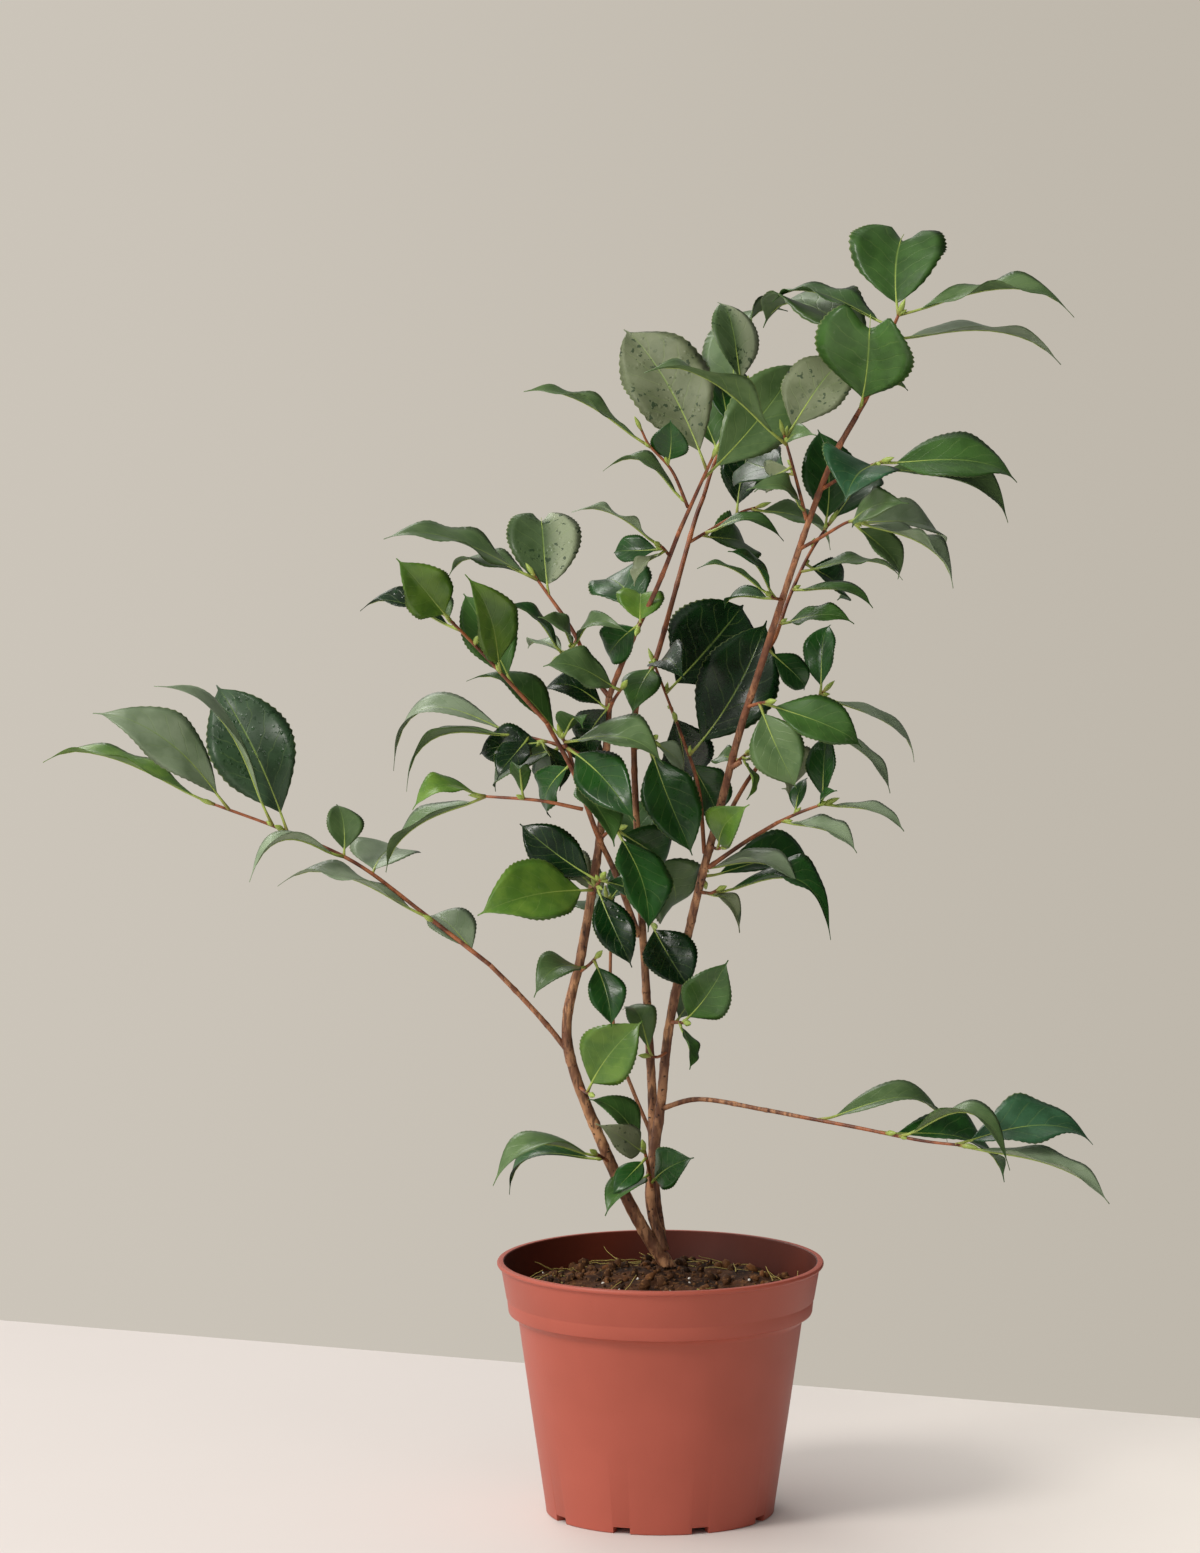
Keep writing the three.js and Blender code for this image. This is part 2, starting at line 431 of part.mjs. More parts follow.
/** A shoot's stem with its end bud and its spurs, before the leaves. */
function stemSolid({ path, thick: [foot, tip] }, random) {
  const curve = curveThrough(path);
  const length = curve.getLength();
  const radius = (t) => THREE.MathUtils.lerp(foot, tip, t) / 2;
  let stem = tube(curve, SHOOT.sides, stepsFor(length, SHOOT.stepLength), radius);
  stem = stem.add(budSolid(curve.getPoint(1), curve.getTangent(1), SHOOT.budLength, tip / 2));
  const spurs = Math.floor(length / SHOOT.spurSpacing);
  for (let i = 0; i < spurs; i += 1) {
    const t = (i + 0.4 + 0.4 * random()) / spurs;
    const spin = random() * 2 * Math.PI;
    const out = new THREE.Vector3(Math.cos(spin), Math.sin(spin), 0.4)
      .addScaledVector(curve.getTangent(t), 0.8).normalize();
    stem = stem.add(budSolid(curve.getPoint(t), out, SHOOT.spurLength, radius(t) * 0.7));
  }
  return stem;
}

const boxesMeet = (a, b) => ['0', '1', '2'].every((axis) =>
  a.boundingBox().min[axis] < b.boundingBox().max[axis]
  && b.boundingBox().min[axis] < a.boundingBox().max[axis]);
const touches = (solid, others, least) => others.some((other) =>
  boxesMeet(solid, other) && solid.intersect(other).volume() > least);
const cutClear = (solid, others) => mainPiece(others
  .filter((other) => boxesMeet(solid, other))
  .reduce((rest, other) => rest.subtract(other), solid));

// ---------------------------------------------------------------- the pot and its soil
function potSolid() {
  const p = POT;
  const bandTop = p.height - p.lip;
  const bandFoot = bandTop - p.bandHeight + p.lip;
  const shoulder = bandFoot - p.shoulderDrop;
  const profile = [
    [0, 0],
    [p.recessRadii[0], 0],
    [p.recessRadii[0] + 1, p.recessHeight],
    [p.recessRadii[1] - 1, p.recessHeight],
    [p.recessRadii[1], 0],
    [p.footRadius, 0],
    [p.shoulderRadius, shoulder],
    [p.bandFootRadius, bandFoot],
    [p.bandTopRadius, bandTop],
    [p.rimRadius, bandTop + 0.4 * p.lip],
    [p.rimRadius, p.height],
    [p.bandTopRadius - p.wall, p.height],
    [p.bandFootRadius - p.wall, bandFoot + 0.6],
    [p.shoulderRadius - p.wall, shoulder + 0.6],
    [p.footRadius - p.wall, p.floor],
    [0, p.floor],
  ].map(([r, z]) => new THREE.Vector2(r, z));
  const turned = new THREE.LatheGeometry(profile, p.segments).rotateX(Math.PI / 2);
  let pot = solidOf(turned);
  for (let i = 0; i < p.notches; i += 1) {
    const angle = ((i + 0.5) / p.notches) * 2 * Math.PI - Math.PI / 2;
    const notch = new THREE.BoxGeometry(p.footRadius - p.recessRadii[1] + 4, p.notchWidth, 2 * p.notchHeight)
      .translate((p.footRadius + p.recessRadii[1]) / 2, 0, 0)
      .rotateZ(angle);
    pot = pot.subtract(solidOf(notch));
  }
  return pot;
}

function soilSolid() {
  const inner = (z) => {
    const shoulder = POT.height - POT.bandHeight - POT.shoulderDrop;
    return z < shoulder
      ? THREE.MathUtils.mapLinear(z, 0, shoulder, POT.footRadius, POT.shoulderRadius) - POT.wall - 2 * GAP
      : POT.bandFootRadius - POT.wall - 2 * GAP;
  };
  const bandFoot = POT.height - POT.bandHeight;
  const profile = [
    [0, POT.floor + GAP],
    [inner(POT.floor) - 1, POT.floor + GAP],
    [inner(bandFoot - POT.shoulderDrop - 2), bandFoot - POT.shoulderDrop - 2],
    [POT.bandFootRadius - POT.wall - 2 * GAP, SOIL.wallLevel],
    [SOIL.shelfRadius, SOIL.shelfLevel],
    [SOIL.crownRadius, SOIL.crownLevel],
    [0, SOIL.crownLevel],
  ].map(([r, z]) => new THREE.Vector2(r, z));
  return solidOf(new THREE.LatheGeometry(profile, POT.segments).rotateX(Math.PI / 2));
}

// ---------------------------------------------------------------- assembly
const FINISHES = {
  pot: { color: 0xa8553f, roughness: 0.42, metalness: 0 },
  soil: { color: 0x4a3527, roughness: 0.95, metalness: 0 },
  bark: { color: 0x7a5a44, roughness: 0.8, metalness: 0 },
  foliage: { color: 0x2f5a2c, roughness: 0.35, metalness: 0 },
};

const group = new THREE.Group();
group.add(meshOf('pot', potSolid(), FINISHES.pot));
group.add(meshOf('soil', soilSolid(), FINISHES.soil));

const below = new THREE.BoxGeometry(2 * POT.rimRadius, 2 * POT.rimRadius, POT.height)
  .translate(0, 0, SOIL.crownLevel + GAP - POT.height / 2);
const clearances = [solidOf(below)]; // what limbs and shoots keep out of, with the gap round it
for (const [name, limb] of Object.entries(LIMBS)) {
  const solid = cutClear(limbSolid(limb), clearances);
  group.add(meshOf(name, solid, FINISHES.bark));
  clearances.push(limbSolid(limb, GAP));
}

const masses = [];
let seed = FIRST_SEED;
for (const [name, shoot] of Object.entries(SHOOTS)) {
  seed += 1;
  const random = randomFrom(seed);
  const curve = curveThrough(shoot.path);
  let mass = cutClear(stemSolid(shoot, random), clearances);
  for (const row of shoot.leaves) {
    const leaf = leafSolid(curve.getPoint(row[0]), row, random);
    const clear = !touches(leaf, clearances, 0.04 * leaf.volume()) && !touches(leaf, masses, 0);
    if (clear) mass = mass.add(leaf);
  }
  mass = mainPiece(cutClear(mass, [...clearances, ...masses]).simplify(SMALLEST));
  group.add(meshOf(name, mass, FINISHES.foliage));
  masses.push(mass);
}

export default group;
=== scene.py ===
import math

import bmesh
import bpy
import numpy as np
from mathutils import Euler, Matrix, Vector, noise


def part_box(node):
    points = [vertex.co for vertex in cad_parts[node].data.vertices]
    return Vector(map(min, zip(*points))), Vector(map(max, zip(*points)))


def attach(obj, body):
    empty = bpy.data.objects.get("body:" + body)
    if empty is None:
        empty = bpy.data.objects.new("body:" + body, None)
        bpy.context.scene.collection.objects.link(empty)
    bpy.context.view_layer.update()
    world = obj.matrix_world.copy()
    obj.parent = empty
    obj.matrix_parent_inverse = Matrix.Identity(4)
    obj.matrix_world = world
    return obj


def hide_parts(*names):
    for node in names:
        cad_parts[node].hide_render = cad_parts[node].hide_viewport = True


# A young camellia in a plastic nursery pot. The limbs, shoots and leaves below repeat the frame's
# own rule and its seeds, so a leaf grows where its solid is, in a finer shape. Four leaves, one in
# foliage_front_side, two in foliage_young and one in foliage_twin, have no solid in the frame.

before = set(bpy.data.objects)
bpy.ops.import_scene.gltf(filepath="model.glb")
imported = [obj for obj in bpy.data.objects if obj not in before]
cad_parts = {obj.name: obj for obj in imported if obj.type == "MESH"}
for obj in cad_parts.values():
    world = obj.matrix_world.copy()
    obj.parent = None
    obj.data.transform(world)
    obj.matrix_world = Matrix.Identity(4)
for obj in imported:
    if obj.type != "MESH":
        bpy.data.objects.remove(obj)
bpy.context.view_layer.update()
BODY = "root"
MM = 0.001

# ---------------------------------------------------------------- the view
IMAGE = (1200, 1553)
CAMERA_PLACE = (-0.0305, -3.9818, 0.9082)
CAMERA_PITCH = math.radians(7.62)
FOCAL_PIXELS = 8015
SENSOR = 36.0
CLIP = (0.1, 30)

# ---------------------------------------------------------------- how the plant grows, mm
TRUNK_FLARE = 0.4
TRUNK_FLARE_LENGTH = 14
SPUR_SPACING = 75
# The seeds: from SHOOT_SEED on, one a shoot, for what the frame's rule deals out, and the others
# for what only the finer shapes need.
SHOOT_SEED = 8
FINE_SEED = 9000
LIMB_SEED = 500
CRUMB_SEED = 301
STRAW_SEED = 77
# A leaf: the share of it that is stalk, its usual breadth, the width factor from which it has a
# blunt tip, and what chance adds to its pose.
STALK = 0.12
BASE_BREADTH = 16
BREADTH_PER_LENGTH = 0.68
BLUNT_FROM = 1.32
BREADTH_SHARE, BREADTH_SPREAD = 0.52, 0.1
FOLD, FOLD_SPREAD = 8, 16
TWIST_SPREAD = 40
SWEEP_SPREAD = 0.12
ROLL_SPREAD = 12
ARCH_SHARE, ARCH_SPREAD = 0.85, 0.3
# How a leaf is held: its roll from edge-on to face-on (degrees, or none where its upper face looks
# straight up), how far it arches (a share of its length), and a factor for its breadth.
POSTURES = {
    "face": {"roll": 80, "arch": 0.05},
    "half": {"roll": 54, "arch": 0.09},
    "tilt": {"roll": 32, "arch": 0.12},
    "edge": {"roll": 14, "arch": 0.13, "breadth": 0.85},
    "thin": {"roll": 4, "arch": 0.1, "breadth": 0.78},
    "arc": {"roll": 24, "arch": 0.24, "breadth": 0.85},
    "droop": {"roll": 10, "arch": 0.3, "breadth": 0.75},
    "curl": {"roll": 50, "arch": 0.3},
    "away": {"roll": None, "arch": 0.08, "breadth": 1.35},
    "toward": {"roll": None, "arch": 0.16},
}

# Limbs: the thickness at foot and tip, and the points that each passes.
LIMBS = {
    "trunk": ((7, 3.6),
        [(10, 21, 111), (4, 20, 122), (-10, 18, 144), (-28, 14, 183), (-47, 10, 239), (-40, 6, 284),
        (-34, 4, 320), (-29, 0, 360), (-26, -3, 416)]),
    "stem_right": ((5.8, 2.8),
        [(2, 20, 130), (-5, 22, 158), (0, 20, 203), (5, 16, 249), (17, 8, 308), (28, 0, 353),
        (39, -8, 398), (49, -14, 431), (69, -26, 495), (84, -34, 537), (96, -38, 560)]),
    "stem_middle": ((5.6, 2.2),
        [(1, 22, 132), (-3, 34, 164), (-4, 34, 207), (-7, 34, 262), (-10, 32, 313), (-13, 30, 400),
        (-1, 34, 435), (16, 46, 495), (22, 50, 512)]),
    "stem_thin": ((2.2, 1.6),
        [(-3, 34, 184), (-13, 40, 207), (-21, 44, 229), (-25, 46, 255), (-25, 46, 288)]),
    "bough_left": ((3, 2.4),
        [(-45, 10, 232), (-57, 12, 247), (-72, 16, 263), (-86, 18, 277)]),
    "bough_low_right": ((2.8, 2),
        [(0, 20, 203), (20, 8, 210), (51, -10, 208), (70, -20, 206)]),
    "bough_front": ((3.4, 2.2),
        [(-11, 33, 290), (-23, 6, 326), (-32, -10, 348), (-43, -22, 379), (-57, -34, 407)]),
    "bough_upper_left": ((2.6, 2),
        [(-26, -3, 416), (-34, 2, 427), (-42, 8, 444), (-48, 12, 454)]),
    "bough_upper_centre": ((3, 2.2),
        [(-26, -3, 416), (-22, -6, 427), (-13, -12, 449), (-2, -18, 473), (9, -26, 502)]),
    "bough_right": ((2.4, 2),
        [(24, 3, 329), (42, -6, 343), (58, -14, 354)]),
    "bough_back_right": ((2.6, 2),
        [(29, 1, 347), (43, 16, 370), (55, 24, 385)]),
}
# Shoots: the stem's thickness and points in the same way, and then a row for each leaf: where it
# leaves the stem (0 to 1), its clock direction (degrees from upright), its lean to the front
# (degrees), its length (mm), its posture, how much broader it is than usual, and its tone.
SHOOTS = {
    "foliage_left": ((2.4, 1.4),
        [(-86, 18, 277), (-117, 26, 300), (-153, 34, 326), (-189, 40, 342), (-226, 46, 355)],
        [(0.05, -56, -45, 42, "tilt", 1, "s"), (0.25, -74, -3, 78, "thin", 1, "s"),
        (0.45, 72, -72, 53, "away", 0.9, "s"), (0.55, -99, 23, 52, "droop", 1, "s"),
        (0.55, -9, -35, 31, "away", 0.75, "g"), (0.75, -27, -18, 86, "face", 1, "r"),
        (0.8, -33, 23, 103, "thin", 0.8, "s"), (0.95, -51, 9, 85, "half", 0.78, "s"),
        (1, -75, -16, 94, "thin", 0.8, "b")]),
    "foliage_low_right": ((2, 1.4),
        [(70, -20, 206), (98, -34, 203), (129, -48, 199), (149, -56, 198)],
        [(0.1, 99, -18, 72, "arc", 0.8, "g"), (0.55, 99, 32, 64, "droop", 1, "g"),
        (0.45, 115, -29, 83, "edge", 1, "d"), (0.95, 89, -10, 71, "tilt", 1, "t"),
        (1, 108, 16, 80, "thin", 0.8, "s")]),
    "foliage_front_left": ((2.2, 1.4),
        [(-57, -34, 407), (-88, -50, 443), (-106, -60, 463)],
        [(0.95, -37, 33, 48, "face", 1, "b"), (0.8, -77, -18, 53, "edge", 0.8, "w"),
        (0.9, -72, -55, 49, "thin", 1, "g"), (0.35, -15, 37, 67, "half", 0.85, "b"),
        (0.25, -29, -21, 55, "face", 1, "m")]),
    "foliage_front_side": ((2, 1.5),
        [(-42, -21, 376), (-45, -24, 388), (-49, -30, 399)],
        [(0.95, -57, -22, 60, "edge", 1, "m"), (1, 43, 67, 37, "toward", 0.8, "m"),
        (0.9, 94, 35, 59, "tilt", 1, "g"), (0.75, 132, 44, 61, "face", 0.85, "d"),
        (0.1, 145, 41, 46, "half", 1, "m"), (0.4, -159, -43, 47, "tilt", 0.8, "d")]),
    "foliage_side_left": ((2, 1.4),
        [(-39, -15, 361), (-61, -12, 365), (-88, -4, 366)],
        [(1, -93, 32, 42, "arc", 1, "b"), (1, -127, -17, 68, "thin", 1, "g"),
        (0.65, -6, 57, 36, "toward", 0.5, "m")]),
    "foliage_dark_left": ((2.2, 1.4),
        [(-29, 0, 375), (-44, 12, 387), (-72, 24, 394)],
        [(1, -113, 7, 63, "droop", 1, "g"), (1, -106, -21, 72, "droop", 1, "s"),
        (0.75, -101, -16, 37, "half", 1, "w"), (0.6, -124, -34, 54, "tilt", 1, "g"),
        (0.65, -169, -53, 50, "half", 0.7, "d"), (0.8, 156, 29, 29, "tilt", 0.9, "w"),
        (0.7, 128, -38, 42, "tilt", 1, "w"), (0.9, -137, 43, 32, "half", 0.9, "w")]),
    "foliage_upper_left": ((2, 1.4),
        [(-48, 12, 454), (-57, 17, 466), (-63, 20, 474)],
        [(0.45, -6, -41, 52, "away", 1, "v"), (0.9, -72, 10, 81, "thin", 1, "g"),
        (1, -88, -30, 51, "edge", 1, "g")]),
    "foliage_fork_left": ((1.8, 1.5),
        [(-42, 7, 444), (-46, -2, 439), (-50, -8, 437)],
        [(0.85, -48, 9, 40, "edge", 1, "d"), (0.65, -90, -57, 36, "edge", 0.7, "s"),
        (0.25, -43, 47, 35, "tilt", 0.8, "g"), (0.4, 64, 48, 46, "arc", 0.5, "g")]),
    "foliage_fork": ((2.2, 1.6),
        [(-27, -3, 406), (-24, -12, 415), (-20, -20, 422)],
        [(0.95, -66, 22, 43, "tilt", 1, "g"), (0.2, -75, -13, 36, "curl", 0.8, "w"),
        (0.4, -158, -45, 45, "half", 0.9, "w")]),
    "foliage_node_left": ((2.4, 1.7),
        [(-35, 4, 315), (-32, -4, 321), (-30, -10, 325)],
        [(0.8, -55, -12, 50, "face", 0.85, "w"), (0.25, -96, 35, 70, "half", 1.1, "b"),
        (0.5, 155, 26, 46, "face", 0.82, "w"), (0.95, 115, 8, 30, "tilt", 1, "d"),
        (0.4, -72, -53, 42, "tilt", 1, "p")]),
    "foliage_trunk_right": ((2, 1.5),
        [(-30, 1, 344), (-26, -9, 349), (-22, -14, 351)],
        [(0.95, 161, 31, 58, "half", 1, "d"), (0.95, 137, -51, 57, "half", 0.9, "d")]),
    "foliage_upper_centre": ((2.2, 1.5),
        [(9, -26, 502), (18, -32, 523), (25, -36, 539)],
        [(0.65, 41, -28, 85, "face", 0.92, "g"), (0.8, -31, -29, 91, "face", 1, "p")]),
    "foliage_curl": ((1.8, 1.2),
        [(13, -29, 514), (5, -38, 533), (-6, -46, 546), (-10, -50, 554)],
        [(0.65, -64, 8, 69, "thin", 0.8, "g"), (0.4, 3, 19, 24, "face", 1.1, "d"),
        (0.05, -69, -10, 44, "droop", 0.8, "g")]),
    "foliage_heart": ((1.8, 1.5),
        [(-8, -15, 461), (-10, -22, 456), (-11, -26, 454)],
        [(0.65, 1, -57, 26, "away", 0.98, "b"), (0.15, -61, -65, 57, "half", 1, "d"),
        (0.65, -141, -42, 36, "face", 0.9, "d")]),
    "foliage_twist": ((1.8, 1.4),
        [(4, -22, 489), (1, -34, 494), (-1, -40, 496)],
        [(0.85, -64, 21, 51, "thin", 0.8, "s"), (0.5, -97, -29, 29, "half", 0.8, "d"),
        (0.35, -133, 46, 31, "tilt", 0.7, "p")]),
    "foliage_back_top": ((2, 1.3),
        [(22, 50, 512), (27, 56, 527), (35, 64, 544), (42, 70, 563)],
        [(1, -13, -33, 55, "half", 1, "v"), (0.8, 25, -55, 100, "tilt", 0.9, "g"),
        (0.45, -33, -63, 56, "half", 1, "m"), (0.5, 140, -50, 52, "tilt", 1, "g"),
        (0.65, -25, -63, 72, "half", 0.9, "d")]),
    "foliage_wet_pair": ((1.8, 1.3),
        [(15, 45, 489), (28, 52, 496), (41, 56, 503), (48, 58, 505)],
        [(0.6, 14, -14, 42, "face", 1, "w"), (0.15, 118, -63, 56, "tilt", 1, "m"),
        (0.9, 117, -23, 51, "edge", 1, "g"), (0.2, 92, 22, 42, "arc", 0.6, "m")]),
    "foliage_middle_front": ((2, 1.5),
        [(-12, 30, 386), (-7, 12, 390), (-4, 2, 394)],
        [(0.7, 158, 19, 61, "face", 0.95, "d"), (0.85, 137, -22, 26, "tilt", 0.8, "s"),
        (0.6, 179, -27, 53, "edge", 0.7, "d"), (0.4, -52, 64, 33, "tilt", 0.8, "g")]),
    "foliage_young": ((2.2, 1.3),
        [(22, 4, 336), (19, 16, 368), (11, 24, 392), (4, 30, 410), (-3, 34, 428)],
        [(1, -150, 56, 41, "half", 0.8, "m"), (1, 96, 72, 46, "tilt", 0.8, "w"),
        (0.8, 44, -32, 69, "face", 1.3, "w"), (0.4, 30, -9, 79, "face", 1.05, "w"),
        (0.4, 158, -38, 49, "half", 1, "d"), (0.7, 179, -45, 70, "half", 1, "w")]),
    "foliage_stem_back": ((1.8, 1.4),
        [(-12, 32, 328), (-6, 48, 327), (-3, 56, 327)],
        [(0.95, 172, -57, 72, "tilt", 1, "g"), (0.6, -38, -56, 53, "half", 1, "m")]),
    "foliage_middle_low": ((2, 1.5),
        [(-10, 32, 300), (-6, 20, 300), (-4, 12, 299)],
        [(0.75, 148, 26, 41, "face", 1.2, "w")]),
    "foliage_thin_top": ((1.6, 1.2),
        [(-25, 46, 288), (-26, 46, 298), (-27, 44, 306)],
        [(0.9, 62, -50, 39, "tilt", 1, "d"), (1, -54, -49, 40, "tilt", 1, "p"),
        (0.25, -80, -73, 52, "edge", 1, "m")]),
    "foliage_trunk_low": ((2, 1.5),
        [(-41, 7, 275), (-36, 0, 280), (-33, -5, 284)],
        [(0.9, 164, 26, 36, "face", 0.85, "d"), (0.35, -110, 43, 38, "arc", 1, "g")]),
    "foliage_fork_low": ((2, 1.5),
        [(-41, 11, 216), (-38, 2, 215), (-36, -4, 215)],
        [(0.75, 35, 19, 50, "face", 1.15, "b")]),
    "foliage_knot": ((2.2, 1.6),
        [(5, 16, 248), (9, 4, 250), (12, -4, 251)],
        [(0.85, 33, 22, 43, "face", 1.1, "m"), (0.6, 165, 44, 29, "tilt", 0.8, "m"),
        (0.35, 101, -77, 56, "edge", 1, "g")]),
    "foliage_curled": ((1.8, 1.4),
        [(4, 17, 233), (-1, 12, 231), (-5, 8, 232)],
        [(0.9, -33, -38, 33, "curl", 0.8, "g")]),
    "foliage_foot_left": ((2, 1.5),
        [(-25, 15, 176), (-29, 8, 180), (-32, 2, 183)],
        [(0.75, -99, 20, 58, "arc", 1, "g"), (0.45, -113, -17, 55, "droop", 1, "d")]),
    "foliage_foot": ((2.2, 1.6),
        [(-4, 22, 161), (-6, 8, 175), (-8, 0, 185)],
        [(1, -44, 6, 39, "tilt", 1, "m"), (0.95, -49, 45, 43, "half", 0.7, "p"),
        (0.8, -133, 34, 28, "half", 0.7, "d"), (0.35, -121, 49, 40, "tilt", 0.8, "m"),
        (0.15, 50, 42, 36, "half", 0.9, "d")]),
    "foliage_right_low": ((2, 1.5),
        [(20, 6, 316), (25, -4, 317), (28, -8, 319)],
        [(0.7, 109, 13, 64, "droop", 1.1, "d"), (0.35, 135, 42, 30, "curl", 0.5, "p")]),
    "foliage_right_mid": ((2, 1.5),
        [(22, 4, 332), (21, 14, 325), (22, 20, 320)],
        [(0.75, 103, -34, 71, "arc", 1, "d"), (0.3, 94, 32, 57, "edge", 1, "s")]),
    "foliage_right": ((2, 1.4),
        [(58, -14, 354), (69, -20, 360), (81, -24, 365)],
        [(0.1, 107, 27, 44, "thin", 1, "s"), (0.4, 19, -33, 22, "half", 0.6, "d"),
        (0.95, 6, -16, 37, "half", 0.8, "d"), (0.9, 41, 44, 17, "tilt", 0.5, "d"),
        (1, 105, 21, 44, "thin", 0.8, "s")]),
    "foliage_bright_right": ((1.8, 1.4),
        [(25, 2, 340), (28, -8, 340), (30, -12, 341)],
        [(0.6, 28, 46, 42, "half", 1, "b")]),
    "foliage_back_right": ((2, 1.4),
        [(55, 24, 385), (70, 34, 402), (82, 40, 413)],
        [(0.95, 7, -27, 39, "half", 0.8, "d"), (0.95, 122, -8, 60, "thin", 0.8, "s"),
        (0.5, 127, 15, 61, "thin", 0.8, "s"), (0.15, 171, -54, 54, "tilt", 1, "p")]),
    "foliage_stem_bend": ((2, 1.5),
        [(43, -11, 412), (49, -20, 415), (52, -24, 416)],
        [(0.75, 112, 8, 54, "half", 0.85, "m"), (0.5, 156, 13, 46, "face", 1, "g")]),
    "foliage_spur": ((2, 1.6),
        [(36, -4, 381), (40, 4, 384), (42, 8, 385)],
        [(0.6, 103, 39, 26, "tilt", 0.9, "p"), (0.75, 170, 47, 27, "tilt", 0.5, "b"),
        (0.4, -103, -60, 23, "tilt", 0.7, "g")]),
    "foliage_twin": ((2.2, 1.4),
        [(51, -15, 439), (57, -4, 446), (64, 4, 465), (74, 10, 486), (84, 14, 501)],
        [(0.1, 138, -25, 33, "half", 0.8, "d"), (0.35, 83, 29, 41, "edge", 0.8, "m"),
        (0.55, 98, 24, 44, "thin", 1, "m"), (0.65, 92, -7, 52, "edge", 0.8, "g"),
        (0.95, -3, -16, 52, "face", 1, "d"), (1, 44, -54, 54, "half", 1, "d"),
        (0.7, 139, -53, 50, "tilt", 0.8, "d")]),
    "foliage_left_of_stem": ((1.8, 1.5),
        [(60, -21, 467), (56, -32, 469), (54, -38, 471)],
        [(0.75, -63, 17, 42, "thin", 0.8, "m"), (0.45, -41, 32, 41, "edge", 0.7, "d"),
        (0.5, -102, -41, 34, "thin", 0.8, "d")]),
    "foliage_rosette": ((2, 1.4),
        [(69, -26, 493), (79, -38, 500), (90, -50, 508), (95, -56, 510)],
        [(1, 120, 14, 59, "edge", 1, "s"), (0.9, 110, -38, 65, "edge", 1, "s"),
        (0.8, 60, 54, 49, "tilt", 0.8, "g"), (0.9, 140, -17, 40, "tilt", 0.9, "g")]),
    "foliage_blue": ((2, 1.4),
        [(79, -31, 523), (93, -48, 533), (107, -58, 539)],
        [(0.95, -127, 63, 45, "half", 1.8, "t"), (1, 95, 3, 68, "tilt", 1.2, "m"),
        (0.85, 111, -15, 78, "edge", 1, "g")]),
    "foliage_pale_left": ((2, 1.3),
        [(72, -27, 507), (65, -44, 534), (60, -52, 552)],
        [(0.95, 41, -38, 62, "half", 1.1, "p"), (0.85, -57, 27, 90, "thin", 1, "g"),
        (0.9, 64, 64, 33, "tilt", 0.5, "g"), (0.55, -141, -67, 37, "tilt", 0.7, "p"),
        (0.1, -66, 33, 37, "arc", 0.7, "g"), (0.45, -93, -74, 79, "half", 0.8, "d")]),
    "foliage_top": ((2.6, 1.5),
        [(96, -38, 560), (102, -42, 572), (108, -48, 591), (116, -52, 611)],
        [(1, 8, -48, 60, "away", 1.08, "m"), (0.1, 4, 29, 62, "face", 1.7, "m"),
        (1, 86, 7, 86, "thin", 0.8, "g"), (0.8, 98, -19, 93, "thin", 1, "s"),
        (0.9, -77, -37, 74, "thin", 1, "m"), (0.7, -81, -57, 107, "edge", 1, "g"),
        (0.4, -70, -66, 123, "tilt", 1, "g"), (0.3, 85, -38, 26, "edge", 0.6, "m")]),
}
# A leaf that is left out, as it is in the frame: its shoot and row.
LEFT_OUT = {("foliage_top", 6)}


# ---------------------------------------------------------------- finishes
class Wire:
    """A socket in a node tree that takes arithmetic: each operation adds its Math node."""

    def __init__(self, graph, socket):
        self.graph = graph
        self.socket = socket

    def math(self, operation, first, second):
        node = self.graph.node("ShaderNodeMath", {"operation": operation}, {0: first, 1: second})
        return self.graph.out(node, 0)

    def __add__(self, other):
        return self.math("ADD", self, other)

    def __sub__(self, other):
        return self.math("SUBTRACT", self, other)

    def __mul__(self, other):
        return self.math("MULTIPLY", self, other)

    def __radd__(self, other):
        return self.math("ADD", other, self)

    def __rsub__(self, other):
        return self.math("SUBTRACT", other, self)

    def __rmul__(self, other):
        return self.math("MULTIPLY", other, self)


class Graph:
    """A node tree that is built up node by node: a node's settings come before its sockets."""

    def __init__(self, tree):
        self.tree = tree

    def node(self, kind, settings=None, inputs=None):
        made = self.tree.nodes.new(kind)
        for setting, value in (settings or {}).items():
            setattr(made, setting, value)
        for key, value in (inputs or {}).items():
            if isinstance(value, Wire):
                self.tree.links.new(value.socket, made.inputs[key])
            else:
                made.inputs[key].default_value = value
        return made

    def out(self, node, key):
        return Wire(self, node.outputs[key])

    def between(self, wire, low, high):
        """0 below low, 1 above high, and smooth from one to the other."""
        settings = {"interpolation_type": "SMOOTHSTEP"}
        return self.out(self.node("ShaderNodeMapRange", settings, {0: wire, 1: low, 2: high}), 0)

    def mixed(self, factor, first, second):
        settings = {"data_type": "RGBA"}
        return self.out(self.node("ShaderNodeMix", settings, {0: factor, 6: first, 7: second}), 2)


